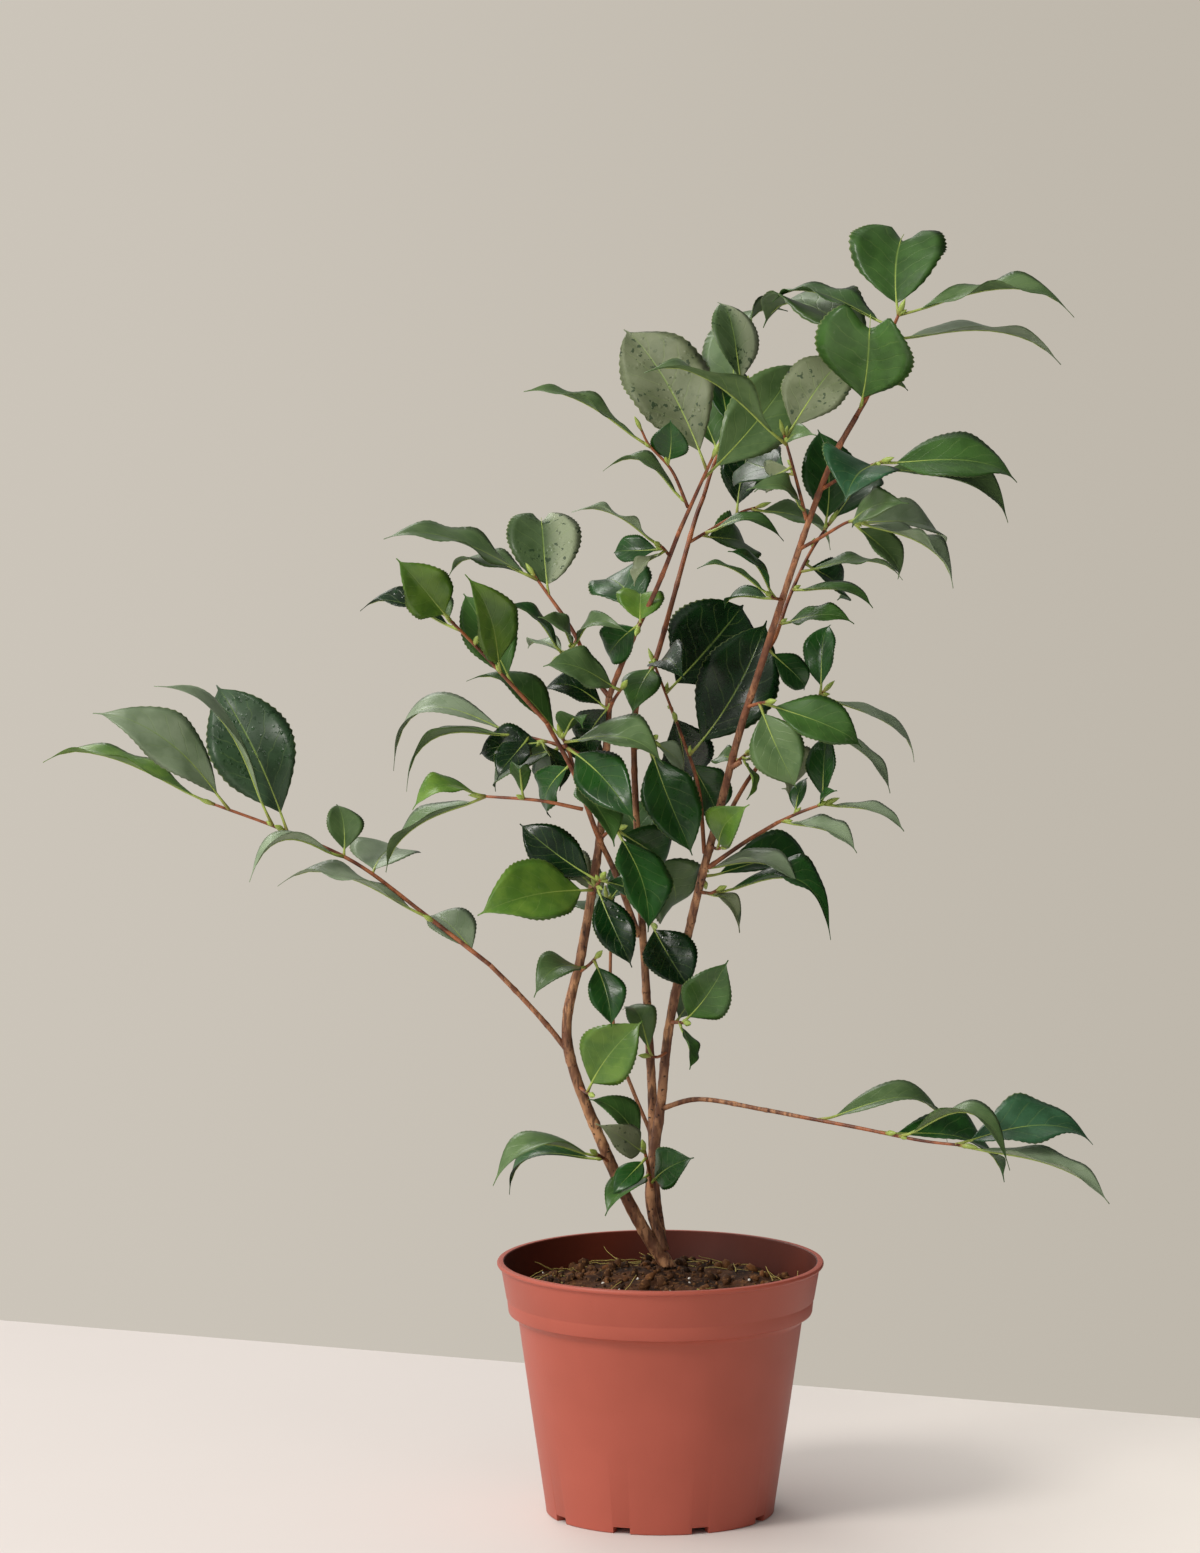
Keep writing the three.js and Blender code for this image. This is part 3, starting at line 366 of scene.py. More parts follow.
class Finish(Graph):
    """A material round one Principled shader: constants on the shader itself, wires by feed."""

    def __init__(self, name, **constants):
        self.material = bpy.data.materials.new(name)
        self.material.use_nodes = True
        super().__init__(self.material.node_tree)
        self.shader = self.tree.nodes["Principled BSDF"]
        for socket, value in constants.items():
            self.shader.inputs[socket.replace("_", " ")].default_value = value

    def feed(self, **wires):
        for socket, wire in wires.items():
            self.tree.links.new(wire.socket, self.shader.inputs[socket.replace("_", " ")])

    def place(self):
        return self.out(self.node("ShaderNodeTexCoord"), "Object")

    def across(self):
        split = self.node("ShaderNodeSeparateXYZ", None, {0: self.place()})
        return self.out(split, 0)

    def stretched(self, scale):
        return self.out(self.node("ShaderNodeMapping", None, {"Vector": self.place(), "Scale": scale}), 0)

    def attribute(self, name, key="Fac"):
        return self.out(self.node("ShaderNodeAttribute", {"attribute_name": name}), key)

    def blotches(self, scale, detail=3, where=None):
        inputs = {"Vector": where or self.place(), "Scale": scale, "Detail": detail}
        return self.out(self.node("ShaderNodeTexNoise", None, inputs), 0)

    def cells(self, scale):
        inputs = {"Vector": self.place(), "Scale": scale}
        return self.out(self.node("ShaderNodeTexVoronoi", None, inputs), "Distance")

    def bump(self, height, distance, strength=1.0):
        inputs = {"Strength": strength, "Distance": distance, "Height": height}
        return self.out(self.node("ShaderNodeBump", None, inputs), 0)


def colour(red, green, blue):
    """A colour from 0 to 255 in each channel, as the shader's linear one."""
    def linear(value):
        share = value / 255
        return share / 12.92 if share <= 0.04045 else ((share + 0.055) / 1.055) ** 2.4
    return (linear(red), linear(green), linear(blue), 1)


def pot_plastic(inside=False):
    """Thin moulded plastic, matt outside, and painted darker within as painted shade."""
    finish = Finish("plastic_inside_painted_shade" if inside else "terracotta_plastic", Specular_IOR_Level=0.35)
    tone = finish.between(finish.blotches(14, 3), 0.3, 0.7)
    specks = finish.between(finish.blotches(900, 2), 0.66, 0.8)
    if inside:
        # Painted shade: inside, the plastic is a far darker red-brown, for the shade within the pot.
        finish.feed(Base_Color=finish.mixed(tone, colour(74, 26, 12), colour(96, 36, 18)))
    else:
        body = finish.mixed(tone, colour(160, 78, 62), colour(170, 84, 68))
        finish.feed(Base_Color=finish.mixed(specks * 0.3, body, colour(138, 66, 54)))
    finish.feed(Roughness=0.42 + 0.1 * finish.blotches(40, 4))
    finish.feed(Normal=finish.bump(finish.blotches(700, 3), 0.00012, 0.35))
    return finish.material


def potting_soil():
    finish = Finish("potting_soil", Specular_IOR_Level=0.2)
    patches = finish.blotches(60, 5)
    fibres = finish.blotches(420, 4)
    dark = finish.mixed(finish.between(patches, 0.35, 0.65), colour(36, 19, 9), colour(78, 46, 24))
    finish.feed(Base_Color=finish.mixed(finish.between(fibres, 0.5, 0.72), dark, colour(104, 70, 38)))
    finish.feed(Roughness=0.85 + 0.12 * fibres)
    finish.feed(Normal=finish.bump(fibres, 0.0012))
    return finish.material


def soil_crumb():
    finish = Finish("bark_crumb", Specular_IOR_Level=0.25)
    shade = finish.attribute("shade")
    grain = finish.blotches(600, 4)
    tone = finish.mixed(shade, colour(34, 19, 9), colour(112, 70, 36))
    finish.feed(Base_Color=finish.mixed(finish.between(grain, 0.5, 0.75), tone, colour(132, 92, 54)))
    finish.feed(Roughness=0.75 + 0.2 * grain)
    finish.feed(Normal=finish.bump(grain, 0.0006))
    return finish.material


def perlite():
    finish = Finish("perlite", Specular_IOR_Level=0.3)
    pits = finish.blotches(1100, 3)
    finish.feed(Base_Color=finish.mixed(pits, colour(196, 190, 178), colour(244, 240, 232)))
    finish.feed(Roughness=0.7 + 0.2 * pits)
    finish.feed(Normal=finish.bump(pits, 0.0005))
    return finish.material


def straw():
    finish = Finish("dry_straw", Specular_IOR_Level=0.3)
    streaks = finish.blotches(300, 3, finish.stretched((4, 4, 1)))
    finish.feed(Base_Color=finish.mixed(streaks, colour(132, 112, 44), colour(196, 178, 104)))
    finish.feed(Roughness=0.6 + 0.2 * streaks)
    return finish.material


def bark():
    """Tan mottled bark on old wood, orange-brown and smooth on the young: the youth attribute is 0 to 1."""
    finish = Finish("bark", Specular_IOR_Level=0.4)
    youth = finish.attribute("youth")
    shaded = finish.between(finish.blotches(42, 3), 0.4, 0.62)
    mottle = finish.blotches(230, 4, finish.stretched((1, 1, 0.4)))
    fissure = finish.blotches(560, 4, finish.stretched((1, 1, 0.16)))
    smooth = finish.blotches(120, 3)
    pits = finish.between(finish.blotches(640, 3), 0.6, 0.7) * (1 - youth)
    old = finish.mixed(finish.between(mottle, 0.36, 0.64), colour(108, 68, 46), colour(188, 138, 98))
    old = finish.mixed(finish.between(fissure, 0.53, 0.62) * 0.75, old, colour(66, 40, 28))
    old = finish.mixed(pits, old, colour(38, 22, 17))
    old = finish.mixed(shaded * 0.5, old, colour(92, 56, 38))
    young = finish.mixed(finish.between(smooth, 0.36, 0.64), colour(84, 40, 26), colour(156, 90, 54))
    finish.feed(Base_Color=finish.mixed(youth, old, young))
    finish.feed(Roughness=0.58 - 0.2 * youth + 0.2 * (fissure - 0.5))
    relief = (mottle * 0.5 + fissure * 0.5) * (1 - 0.75 * youth) - pits * 0.4
    finish.feed(Normal=finish.bump(relief, 0.0009, 0.6))
    return finish.material


def green_stalk():
    """Leaf stalks, midribs and buds: yellow-green, and redder where the warmth attribute is high."""
    finish = Finish("green_stalk", Specular_IOR_Level=0.5)
    warmth = finish.attribute("warmth")
    streaks = finish.blotches(500, 3)
    green = finish.mixed(streaks, colour(112, 134, 52), colour(172, 190, 92))
    finish.feed(Base_Color=finish.mixed(warmth, green, colour(140, 88, 52)))
    finish.feed(Roughness=0.34 + 0.15 * streaks)
    return finish.material


def leaf(name, upper):
    """One side of a leaf: midrib, side veins, rim and blotches in its own UV map, on a dealt tint."""
    finish = Finish(name, Specular_IOR_Level=0.42 if upper else 0.25)
    uv = finish.node("ShaderNodeSeparateXYZ", None, {0: finish.out(finish.node("ShaderNodeUVMap"), 0)})
    along = finish.out(uv, 0)
    aside = finish.out(finish.node("ShaderNodeMath", {"operation": "ABSOLUTE"},
                                   {0: (finish.out(uv, 1) - 0.5) * 2}), 0)
    tint = finish.attribute("tint", "Color")
    wet = finish.attribute("wet")
    mottle = finish.blotches(90, 4)
    fine = finish.blotches(520, 3)

    midrib = 1 - finish.between(aside + along * 0.02, 0.014, 0.044)
    slant = along * 7 - aside * 2.1 + (mottle - 0.5) * 0.9
    saw = finish.out(finish.node("ShaderNodeMath", {"operation": "PINGPONG"}, {0: slant, 1: 0.5}), 0)
    veins = (1 - finish.between(saw, 0.01, 0.06)) * (1 - finish.between(aside, 0.6, 0.9))
    rim = finish.between(aside, 0.955, 0.995)

    base = finish.mixed(finish.between(mottle, 0.38, 0.64) * 0.8, tint, finish.attribute("deep", "Color"))
    base = finish.mixed(veins * (0.16 if upper else 0.3), base, colour(118, 142, 70))
    dusty = finish.between(finish.blotches(330, 4), 0.6, 0.75) * finish.between(mottle, 0.45, 0.6)
    base = finish.mixed(dusty * 0.18, base, colour(128, 142, 112))
    base = finish.mixed(rim * 0.5, base, colour(132, 150, 84))
    base = finish.mixed(midrib * 0.6, base, colour(118, 144, 66))
    beads = 1 - finish.between(finish.cells(250), 0.12, 0.3)
    streaks = finish.between(finish.blotches(320, 2), 0.6, 0.65)
    chosen = finish.between(finish.blotches(48, 1), 0.42, 0.52) * wet
    damp = streaks * chosen
    finish.feed(Base_Color=finish.mixed(damp * 0.85, base, colour(24, 52, 24)))

    drops = beads * chosen
    finish.feed(Roughness=(finish.attribute("rough") if upper else 0.5) + 0.14 * (fine - 0.5) - 0.2 * drops)
    height = mottle * 0.7 + fine * 0.08 + drops * 0.8 + damp * 0.5 - midrib * (0.4 if upper else -0.5)
    finish.feed(Normal=finish.bump(height - veins * 0.2, 0.0006, 0.5))
    return finish.material


# ---------------------------------------------------------------- curves and chance
class Route:
    """A smooth curve through points in millimetres, read in metres by its parameter or by its length."""

    SAMPLES = 200

    def __init__(self, path):
        self.points = [Vector(p) * MM for p in path]
        samples = [self.point(i / self.SAMPLES) for i in range(self.SAMPLES + 1)]
        self.reach = [0.0]
        for before, after in zip(samples, samples[1:]):
            self.reach.append(self.reach[-1] + (after - before).length)
        self.length = self.reach[-1]

    def point(self, t):
        points, spans = self.points, len(self.points) - 1
        span = min(int(t * spans), spans - 1)
        w = t * spans - span
        p1, p2 = points[span], points[span + 1]
        p0 = points[span - 1] if span > 0 else 2 * p1 - p2
        p3 = points[span + 2] if span + 2 <= spans else 2 * p2 - p1
        m1, m2 = (p2 - p0) / 2, (p3 - p1) / 2
        rise = 2 * w**3 - 3 * w**2
        return p1 * (rise + 1) + m1 * (w**3 - 2 * w**2 + w) - p2 * rise + m2 * (w**3 - w**2)

    def along(self, share):
        """The point at that share of the length."""
        wanted = share * self.length
        i = int(np.searchsorted(self.reach, wanted, side="right")) - 1
        i = min(max(i, 0), self.SAMPLES - 1)
        step = self.reach[i + 1] - self.reach[i]
        return self.point((i + (wanted - self.reach[i]) / step) / self.SAMPLES)

    def tangent(self, t):
        ahead, behind = min(1, t + 1e-4), max(0, t - 1e-4)
        return (self.point(ahead) - self.point(behind)).normalized()


def stream(seed):
    """mulberry32: the same numbers from 0 to 1 for the same seed."""
    state = seed
    word = 0xFFFFFFFF

    def draw():
        nonlocal state
        state = (state + 0x6D2B79F5) & word
        mixed = ((state ^ (state >> 15)) * (state | 1)) & word
        mixed ^= (mixed + (((mixed ^ (mixed >> 7)) * (mixed | 61)) & word)) & word
        return (mixed ^ (mixed >> 14)) / (word + 1)

    return draw


def lerp(first, second, share):
    return first + (second - first) * share


# ---------------------------------------------------------------- pieces
def placed(name, data):
    """A new object for a mesh, lamp or camera, in the scene."""
    thing = bpy.data.objects.new(name, data)
    bpy.context.scene.collection.objects.link(thing)
    return thing


def piece(name, mesh, materials, slot_name, *nodes):
    """A finished mesh as a piece that rides on the pot's body and stands for those nodes."""
    thing = placed(name, mesh)
    for material in materials:
        mesh.materials.append(material)
    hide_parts(*nodes)
    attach(thing, BODY)
    return thing


def mesh_from(form, name, smooth=True):
    for face in form.faces:
        face.smooth = smooth
    mesh = bpy.data.meshes.new(name)
    form.to_mesh(mesh)
    form.free()
    return mesh


def applied(thing):
    """The object's mesh with its modifiers applied."""
    graph = bpy.context.evaluated_depsgraph_get()
    return bpy.data.meshes.new_from_object(thing.evaluated_get(graph))


def joined(name, parts):
    """One mesh from many parts: each has its vertices, a list of faces for each of the piece's
    finishes, and named values for its vertices."""
    points, values, base = [], {}, 0
    groups = [[] for _ in parts[0][1]]
    for vertices, by_finish, extras in parts:
        points.append(vertices)
        for group, faces in zip(groups, by_finish):
            group.extend([base + i for i in face] for face in faces)
        for key, value in extras.items():
            values.setdefault(key, []).append(value)
        base += len(vertices)
    mesh = bpy.data.meshes.new(name)
    mesh.from_pydata(np.concatenate(points).tolist(), [], [face for group in groups for face in group])
    mesh.polygons.foreach_set("material_index", [i for i, group in enumerate(groups) for _ in group])
    for key, chunks in values.items():
        deal(mesh, key, np.concatenate(chunks).astype(np.float32))
    mesh.shade_smooth()
    return mesh


def deal(mesh, key, values):
    """Values for the vertices: two columns become a UV map, four a colour, and none a number."""
    if values.ndim == 2 and values.shape[1] == 2:
        corners = np.zeros(len(mesh.loops), np.int32)
        mesh.loops.foreach_get("vertex_index", corners)
        mesh.uv_layers.new(name=key).data.foreach_set("uv", values[corners].ravel())
        return
    kind, field = ("FLOAT_COLOR", "color") if values.ndim == 2 else ("FLOAT", "value")
    mesh.attributes.new(key, kind, "POINT").data.foreach_set(field, values.ravel())


def grow_tube(form, route_points, radii, sides, layer, values):
    """A closed tube in a bmesh: its first ring is carried from point to point and extruded."""
    ring = bmesh.ops.create_circle(form, cap_ends=True, segments=sides, radius=1)["verts"]
    cap = ring[0].link_faces[0]
    edges = list(cap.edges)
    frames = frames_along(route_points, radii)
    bmesh.ops.transform(form, matrix=frames[0], verts=ring)
    rings = [ring]
    for before, after in zip(frames, frames[1:]):
        made = bmesh.ops.extrude_edge_only(form, edges=edges)["geom"]
        ring = [item for item in made if isinstance(item, bmesh.types.BMVert)]
        edges = [item for item in made if isinstance(item, bmesh.types.BMEdge)]
        ring_edges = [edge for edge in edges if all(vert in ring for vert in edge.verts)]
        bmesh.ops.transform(form, matrix=after @ before.inverted(), verts=ring)
        rings.append(ring)
        edges = ring_edges
    bmesh.ops.contextual_create(form, geom=edges)
    for verts, value in zip(rings, values):
        for vert in verts:
            vert[layer] = value
    return rings


def frames_along(points, radii):
    """A frame at each point, turned as little as possible from the one before, scaled to its radius."""
    frames = []
    turn = Vector((0, 0, 1)).rotation_difference(points[1] - points[0])
    for i, (point, radius) in enumerate(zip(points, radii)):
        ahead = points[min(i + 1, len(points) - 1)] - points[max(i - 1, 0)]
        turn = (turn @ Vector((0, 0, 1))).rotation_difference(ahead) @ turn
        frames.append(Matrix.Translation(point) @ turn.to_matrix().to_4x4() @ Matrix.Scale(radius, 4))
    return frames


# ---------------------------------------------------------------- the pot and its soil
# The pot's outer radii, going up, and the groove in its underside.
POT_FOOT = 57.8
SHOULDER = 71.9
BAND_FOOT = 76.7
BAND_TOP = 80.7
GROOVE_INNER, GROOVE_OUTER, GROOVE_DEPTH = 40, 53, 3
# Its other measures: thickness, heights, notches (depth, breadth, height) and edges.
POT_WALL = 1.7
POT_FLOOR = 5
BAND_HEIGHT = 25.7
SHOULDER_DROP = 3.8
RIDGE_RISE = 6.5
NOTCHES = 9
NOTCH = (14, 9, 6.8)
EDGE_SOFTNESS = 0.3
EDGE_ANGLE = math.radians(60)
CREASE_ANGLE = math.radians(38)
INSIDE_FROM = 8
POT_SEGMENTS = 160
# The soil's heights at its edge, middle, shoulder and bottom, its foot's radius, and its gap to the wall.
SOIL_SHELF = 113.5
SOIL_CROWN = 120.4
SOIL_SHOULDER = 98
SOIL_BOTTOM = 5.4
SOIL_FOOT = 55.4
SOIL_GAP = 0.3
SOIL_RINGS = 44
SOIL_SEGMENTS = 180
# What lies on it: how many of each, from which size to which, and how straws lie.
CRUMBS, CRUMB_SIZES = 520, (1.2, 9)
BEADS, BEAD_SIZES = 22, (1.0, 2.2)
STRAWS, STRAW_LENGTHS, STRAW_RADII = 90, (7, 26), (0.32, 0.14)
STRAW_REACH, STRAW_SWING, STRAW_BEND, STRAW_RISE = (0.5, 0.97), 1.4, 1.6, 9
STRAW_STEPS, STRAW_SIDES = 8, 4


def turned(outline, segments):
    """A profile of (radius, height) in millimetres, spun round the upright axis."""
    form = bmesh.new()
    verts = [form.verts.new((r * MM, 0, z * MM)) for r, z in outline]
    edges = [form.edges.new(pair) for pair in zip(verts, verts[1:])]
    bmesh.ops.spin(form, geom=verts + edges, cent=(0, 0, 0), axis=(0, 0, 1), dvec=(0, 0, 0),
                   angle=2 * math.pi, steps=segments, use_merge=True, use_duplicate=False)
    bmesh.ops.remove_doubles(form, verts=form.verts, dist=1e-6)
    bmesh.ops.recalc_face_normals(form, faces=form.faces)
    return form


def pot_outline():
    """The wall's section as (radius, height): the underside, up the outside and down the inside."""
    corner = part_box("pot")[1]
    rim, height = corner.y / MM, corner.z / MM
    band = height - BAND_HEIGHT
    step = band - SHOULDER_DROP
    return [
        (0, 0.0), (GROOVE_INNER, 0.0), (GROOVE_INNER + 0.6, 0.6), (GROOVE_INNER + 1, GROOVE_DEPTH),
        (GROOVE_OUTER - 1, GROOVE_DEPTH), (GROOVE_OUTER - 0.6, 0.6), (GROOVE_OUTER, 0.0),
        (POT_FOOT - 0.6, 0.0), (POT_FOOT, 0.5), (POT_FOOT + 0.15, 2.2),
        (lerp(POT_FOOT, SHOULDER, 0.5), step / 2), (SHOULDER - 0.2, step - 0.9), (SHOULDER + 0.1, step),
        (BAND_FOOT - 1.4, band - 1.1), (BAND_FOOT - 0.2, band - 0.5), (BAND_FOOT + 0.15, band + 0.4),
        (BAND_FOOT + 0.75, band + RIDGE_RISE - 0.5), (BAND_FOOT + 0.75, band + RIDGE_RISE),
        (BAND_FOOT + 1.15, band + RIDGE_RISE + 0.6),
        (BAND_TOP - 0.2, height - 3.4), (BAND_TOP + 0.2, height - 2.6), (rim - 0.35, height - 2.1),
        (rim, height - 1.5), (rim, height - 0.8), (rim - 0.4, height - 0.15), (rim - 1.1, height),
        (BAND_TOP - POT_WALL + 0.5, height), (BAND_TOP - POT_WALL, height - 0.4),
        (BAND_FOOT - POT_WALL, band + 1), (BAND_FOOT - POT_WALL - 0.4, band + 0.2),
        (SHOULDER - POT_WALL, step + 0.6), (POT_FOOT - POT_WALL, POT_FLOOR + 0.4),
        (POT_FOOT - POT_WALL - 0.5, POT_FLOOR), (0, POT_FLOOR),
    ]


def make_pot():
    """The pot with its notches cut, its edges softened and its inside in a darker finish of its own, painted
    shade.
    """
    pot = placed("pot_shape", mesh_from(turned(pot_outline(), POT_SEGMENTS), "pot_shape", smooth=False))
    cutter = placed("notches", mesh_from(notch_blocks(), "notches"))
    cut = pot.modifiers.new("drainage", "BOOLEAN")
    cut.operation, cut.solver, cut.object = "DIFFERENCE", "EXACT", cutter
    soften = pot.modifiers.new("soft_edges", "BEVEL")
    soften.width, soften.segments, soften.limit_method = EDGE_SOFTNESS * MM, 2, "ANGLE"
    soften.angle_limit = EDGE_ANGLE
    mesh = applied(pot)
    bpy.data.objects.remove(pot)
    bpy.data.objects.remove(cutter)
    mesh.shade_smooth()
    mesh.set_sharp_from_angle(angle=CREASE_ANGLE)
    # Faces inside the wall, above INSIDE_FROM, take the inside finish with its painted shade.
    inward = [int(face.center.z > INSIDE_FROM * MM and face.normal.xy.dot(face.center.xy) < 0)
              for face in mesh.polygons]
    mesh.polygons.foreach_set("material_index", inward)
    piece("nursery_pot", mesh, [pot_plastic(), pot_plastic(inside=True)], "pot", "pot")


def notch_blocks():
    """The drainage notches through the foot ring, as one mesh of blocks."""
    form = bmesh.new()
    for i in range(NOTCHES):
        angle = (i + 0.5) / NOTCHES * 2 * math.pi - math.pi / 2
        spot = Matrix.Rotation(angle, 4, "Z") @ Matrix.Translation((POT_FOOT * MM, 0, 0))
        size = Matrix.Diagonal((*(side * MM for side in NOTCH), 1))
        bmesh.ops.create_cube(form, size=1, matrix=spot @ size)
    return form


def soil_height(x, y):
    """The height of the lumpy soil in metres at a place in metres."""
    reach = math.hypot(x, y) / (BAND_FOOT * MM)
    mound = lerp(SOIL_CROWN, SOIL_SHELF, reach**1.6)
    lumps = 3.4 * noise.fractal((x * 48, y * 48, 0.3), 1.0, 2.0, 5)
    grit = 0.8 * noise.noise((x * 330, y * 330, 4.1))
    return (mound + (lumps + grit) * (1 - 0.3 * reach)) * MM


def make_soil():
    wall = BAND_FOOT - POT_WALL - SOIL_GAP
    top = [(wall * i / SOIL_RINGS, SOIL_CROWN) for i in range(SOIL_RINGS + 1)]
    under = [(SHOULDER - POT_WALL - 0.5, SOIL_SHOULDER), (SOIL_FOOT, SOIL_BOTTOM), (0, SOIL_BOTTOM)]
    form = turned(top + under, SOIL_SEGMENTS)
    for vert in form.verts:
        if vert.co.z > (SOIL_CROWN - 1) * MM:
            vert.co.z = soil_height(vert.co.x, vert.co.y)
    piece("soil_body", mesh_from(form, "soil_body"), [potting_soil()], "soil", "soil")
    draw = stream(CRUMB_SEED)
    crumbs = [crumb(draw, lerp(*CRUMB_SIZES, draw() ** 3.5), wall) for _ in range(CRUMBS)]
    piece("soil_crumbs", joined("soil_crumbs", crumbs), [soil_crumb()], "soil", "soil")
    beads = [crumb(draw, lerp(*BEAD_SIZES, draw()), wall) for _ in range(BEADS)]
    piece("soil_perlite", joined("soil_perlite", beads), [perlite()], "soil", "soil")
    make_straws(wall)


def crumb(draw, size, wall):
    """One rough crumb that lies half sunk in the soil's top."""
    ball = bmesh.new()
    bmesh.ops.create_icosphere(ball, subdivisions=1, radius=size / 2 * MM)
    angle, reach = draw() * 2 * math.pi, math.sqrt(draw()) * (wall - size / 2 - 0.5) * MM
    x, y = reach * math.cos(angle), reach * math.sin(angle)
    turn = Euler((draw() * 6, draw() * 6, draw() * 6)).to_matrix()
    flat = Matrix.Diagonal((1, lerp(0.45, 0.9, draw()), lerp(0.4, 0.8, draw())))
    lift = Vector((x, y, soil_height(x, y) + 0.12 * size * MM))
    offset = draw() * 40
    points = [turn @ (flat @ (v.co * (1 + 0.35 * noise.noise(v.co * 900 + Vector((offset,) * 3))))) + lift
              for v in ball.verts]
    faces = [[v.index for v in f.verts] for f in ball.faces]
    ball.free()
    return np.array(points), [faces], {"shade": np.full(len(points), draw() ** 1.5)}


def make_straws(wall):
    """Dry stalks of grass and moss that lie on the soil within the wall, some with an end raised."""
    draw = stream(STRAW_SEED)
    form = bmesh.new()
    layer = form.verts.layers.float.new("shade")
    radii = [lerp(*STRAW_RADII, step / STRAW_STEPS) * MM for step in range(STRAW_STEPS + 1)]
    for _ in range(STRAWS):
        angle, reach = draw() * 2 * math.pi, lerp(*STRAW_REACH, draw() ** 0.5) * (wall - 2)
        course = angle + math.pi / 2 + STRAW_SWING * (draw() - 0.5)
        length, bend = lerp(*STRAW_LENGTHS, draw()), STRAW_BEND * (draw() - 0.5)
        rise = STRAW_RISE * draw() ** 3
        spot = Vector((reach * math.cos(angle), reach * math.sin(angle), 0))
        points = []
        for step in range(STRAW_STEPS + 1):
            t = step / STRAW_STEPS
            ahead = course + bend * t
            place = spot + Vector((math.cos(ahead), math.sin(ahead), 0)) * length * (t - 0.5)
            away = place.xy.length
            if away > wall - 1:
                place.xy *= (wall - 1) / away
            ground = soil_height(place.x * MM, place.y * MM) / MM
            points.append(Vector((place.x, place.y, ground + 0.5 + rise * t * t)) * MM)
        grow_tube(form, points, radii, STRAW_SIDES, layer, radii)
    piece("soil_straws", mesh_from(form, "soil_straws"), [straw()], "soil", "soil")


# ---------------------------------------------------------------- trunk, stems and boughs
LIMB_STEP = 1.6
LIMB_SIDES = 14
SCAR_SPACING = 26
SCAR_REACH, SCAR_HEIGHT = 1.3, 0.22
# Bark is young where a limb is slender, more so above SLENDER_FROM, and high up, above YOUNG_FROM.
SLENDER_RADIUS, SLENDER_FADE, SLENDER_FROM, SLENDER_SPAN = 2.1, 1.1, 150, 250
YOUNG_FROM, YOUNG_SPAN = 430, 160
DEAD_SPUR = {"at": 0.56, "out": (0.8, -0.4, 0.45), "length": 7, "rings": 12, "sides": 10, "youth": 0.25}


def youth_of(radius, height):
    """How young the bark is, from 0 to 1, on a limb of that radius at that height."""
    shade = min(1, max(0.2, (height - SLENDER_FROM) / SLENDER_SPAN))
    slender = max(0, (SLENDER_RADIUS - radius) / SLENDER_FADE) * shade
    return min(1, max(slender, (height - YOUNG_FROM) / YOUNG_SPAN))


def make_wood():
    """Trunk, stems and boughs in one mesh with the bark's relief, knots and leaf scars."""
    form = bmesh.new()
    layer = form.verts.layers.float.new("youth")
    for number, (name, ((foot, tip), path)) in enumerate(LIMBS.items()):
        route = Route(path)
        draw = stream(LIMB_SEED + number)
        steps = max(6, round(route.length / (LIMB_STEP * MM)))
        spaces = route.length / (SCAR_SPACING * MM)
        scars = [(i + draw() * 0.8) / max(1, spaces) for i in range(int(spaces))]
        points = [route.along(i / steps) for i in range(steps + 1)]
        radii, youth = [], []
        for i, point in enumerate(points):
            t = i / steps
            radius = lerp(foot, tip, t**0.8) / 2
            if name == "trunk":
                radius += TRUNK_FLARE * math.exp(-t * route.length / MM / TRUNK_FLARE_LENGTH) * foot / 2
            knot = sum(math.exp(-((t - s) * route.length / (SCAR_REACH * MM)) ** 2) for s in scars)
            radii.append((radius + SCAR_HEIGHT * knot) * MM)
            youth.append(youth_of(radius, point.z / MM))
        rings = grow_tube(form, points, radii, LIMB_SIDES, layer, youth)
        for ring, young in zip(rings, youth):
            centre = sum((vert.co for vert in ring), Vector()) / len(ring)
            for vert in ring:
                vert.co += (vert.co - centre) * bark_relief(vert.co) * (1 - 0.85 * young)
    grow_dead_spur(form, layer)
    foot_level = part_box("trunk")[0].z
    everything = form.verts[:] + form.edges[:] + form.faces[:]
    bmesh.ops.bisect_plane(form, geom=everything, plane_co=(0, 0, foot_level), plane_no=(0, 0, -1),
                           clear_outer=True, dist=1e-7)
    bmesh.ops.holes_fill(form, edges=[edge for edge in form.edges if edge.is_boundary])
    bmesh.ops.recalc_face_normals(form, faces=form.faces)
    piece("bark_of_stems", mesh_from(form, "bark_of_stems"), [bark()], "bark", *LIMBS)


def bark_relief(place):
    """How far the bark stands out there, as a share of the limb's radius: long low ridges."""
    stretched = Vector((place.x, place.y, place.z * 0.3))
    return noise.fractal(stretched * 900, 1.0, 2.0, 3) * 0.07 + noise.noise(stretched * 260) * 0.08


def grow_dead_spur(form, layer):
    """A short dead spur with ring scars, on the right stem's outer side."""
    root = Route(LIMBS["stem_right"][1]).point(DEAD_SPUR["at"])
    out = Vector(DEAD_SPUR["out"]).normalized()
    count = DEAD_SPUR["rings"]
    points = [root + out * DEAD_SPUR["length"] * MM * i / count for i in range(count + 1)]
    radii = [(1.9 + 0.35 * (i % 2) - 0.08 * i) * MM for i in range(count)] + [0.5 * MM]
    grow_tube(form, points, radii, DEAD_SPUR["sides"], layer, [DEAD_SPUR["youth"]] * (count + 1))


# ---------------------------------------------------------------- leaves
LEAF_STATIONS = 40
LEAF_COLUMNS = 8
LEAF_THICKNESS = 0.42
TEETH = 0.02
# A stalk's radii at shares of the leaf's length, as far as its midrib runs.
STALK_STATIONS, STALK_SIDES = 12, 6
STALK_RADII = [0, 0.03, STALK, 0.5, 1], [1.0, 0.75, 0.72, 0.42, 0.12]
MIDRIB_END = 0.9
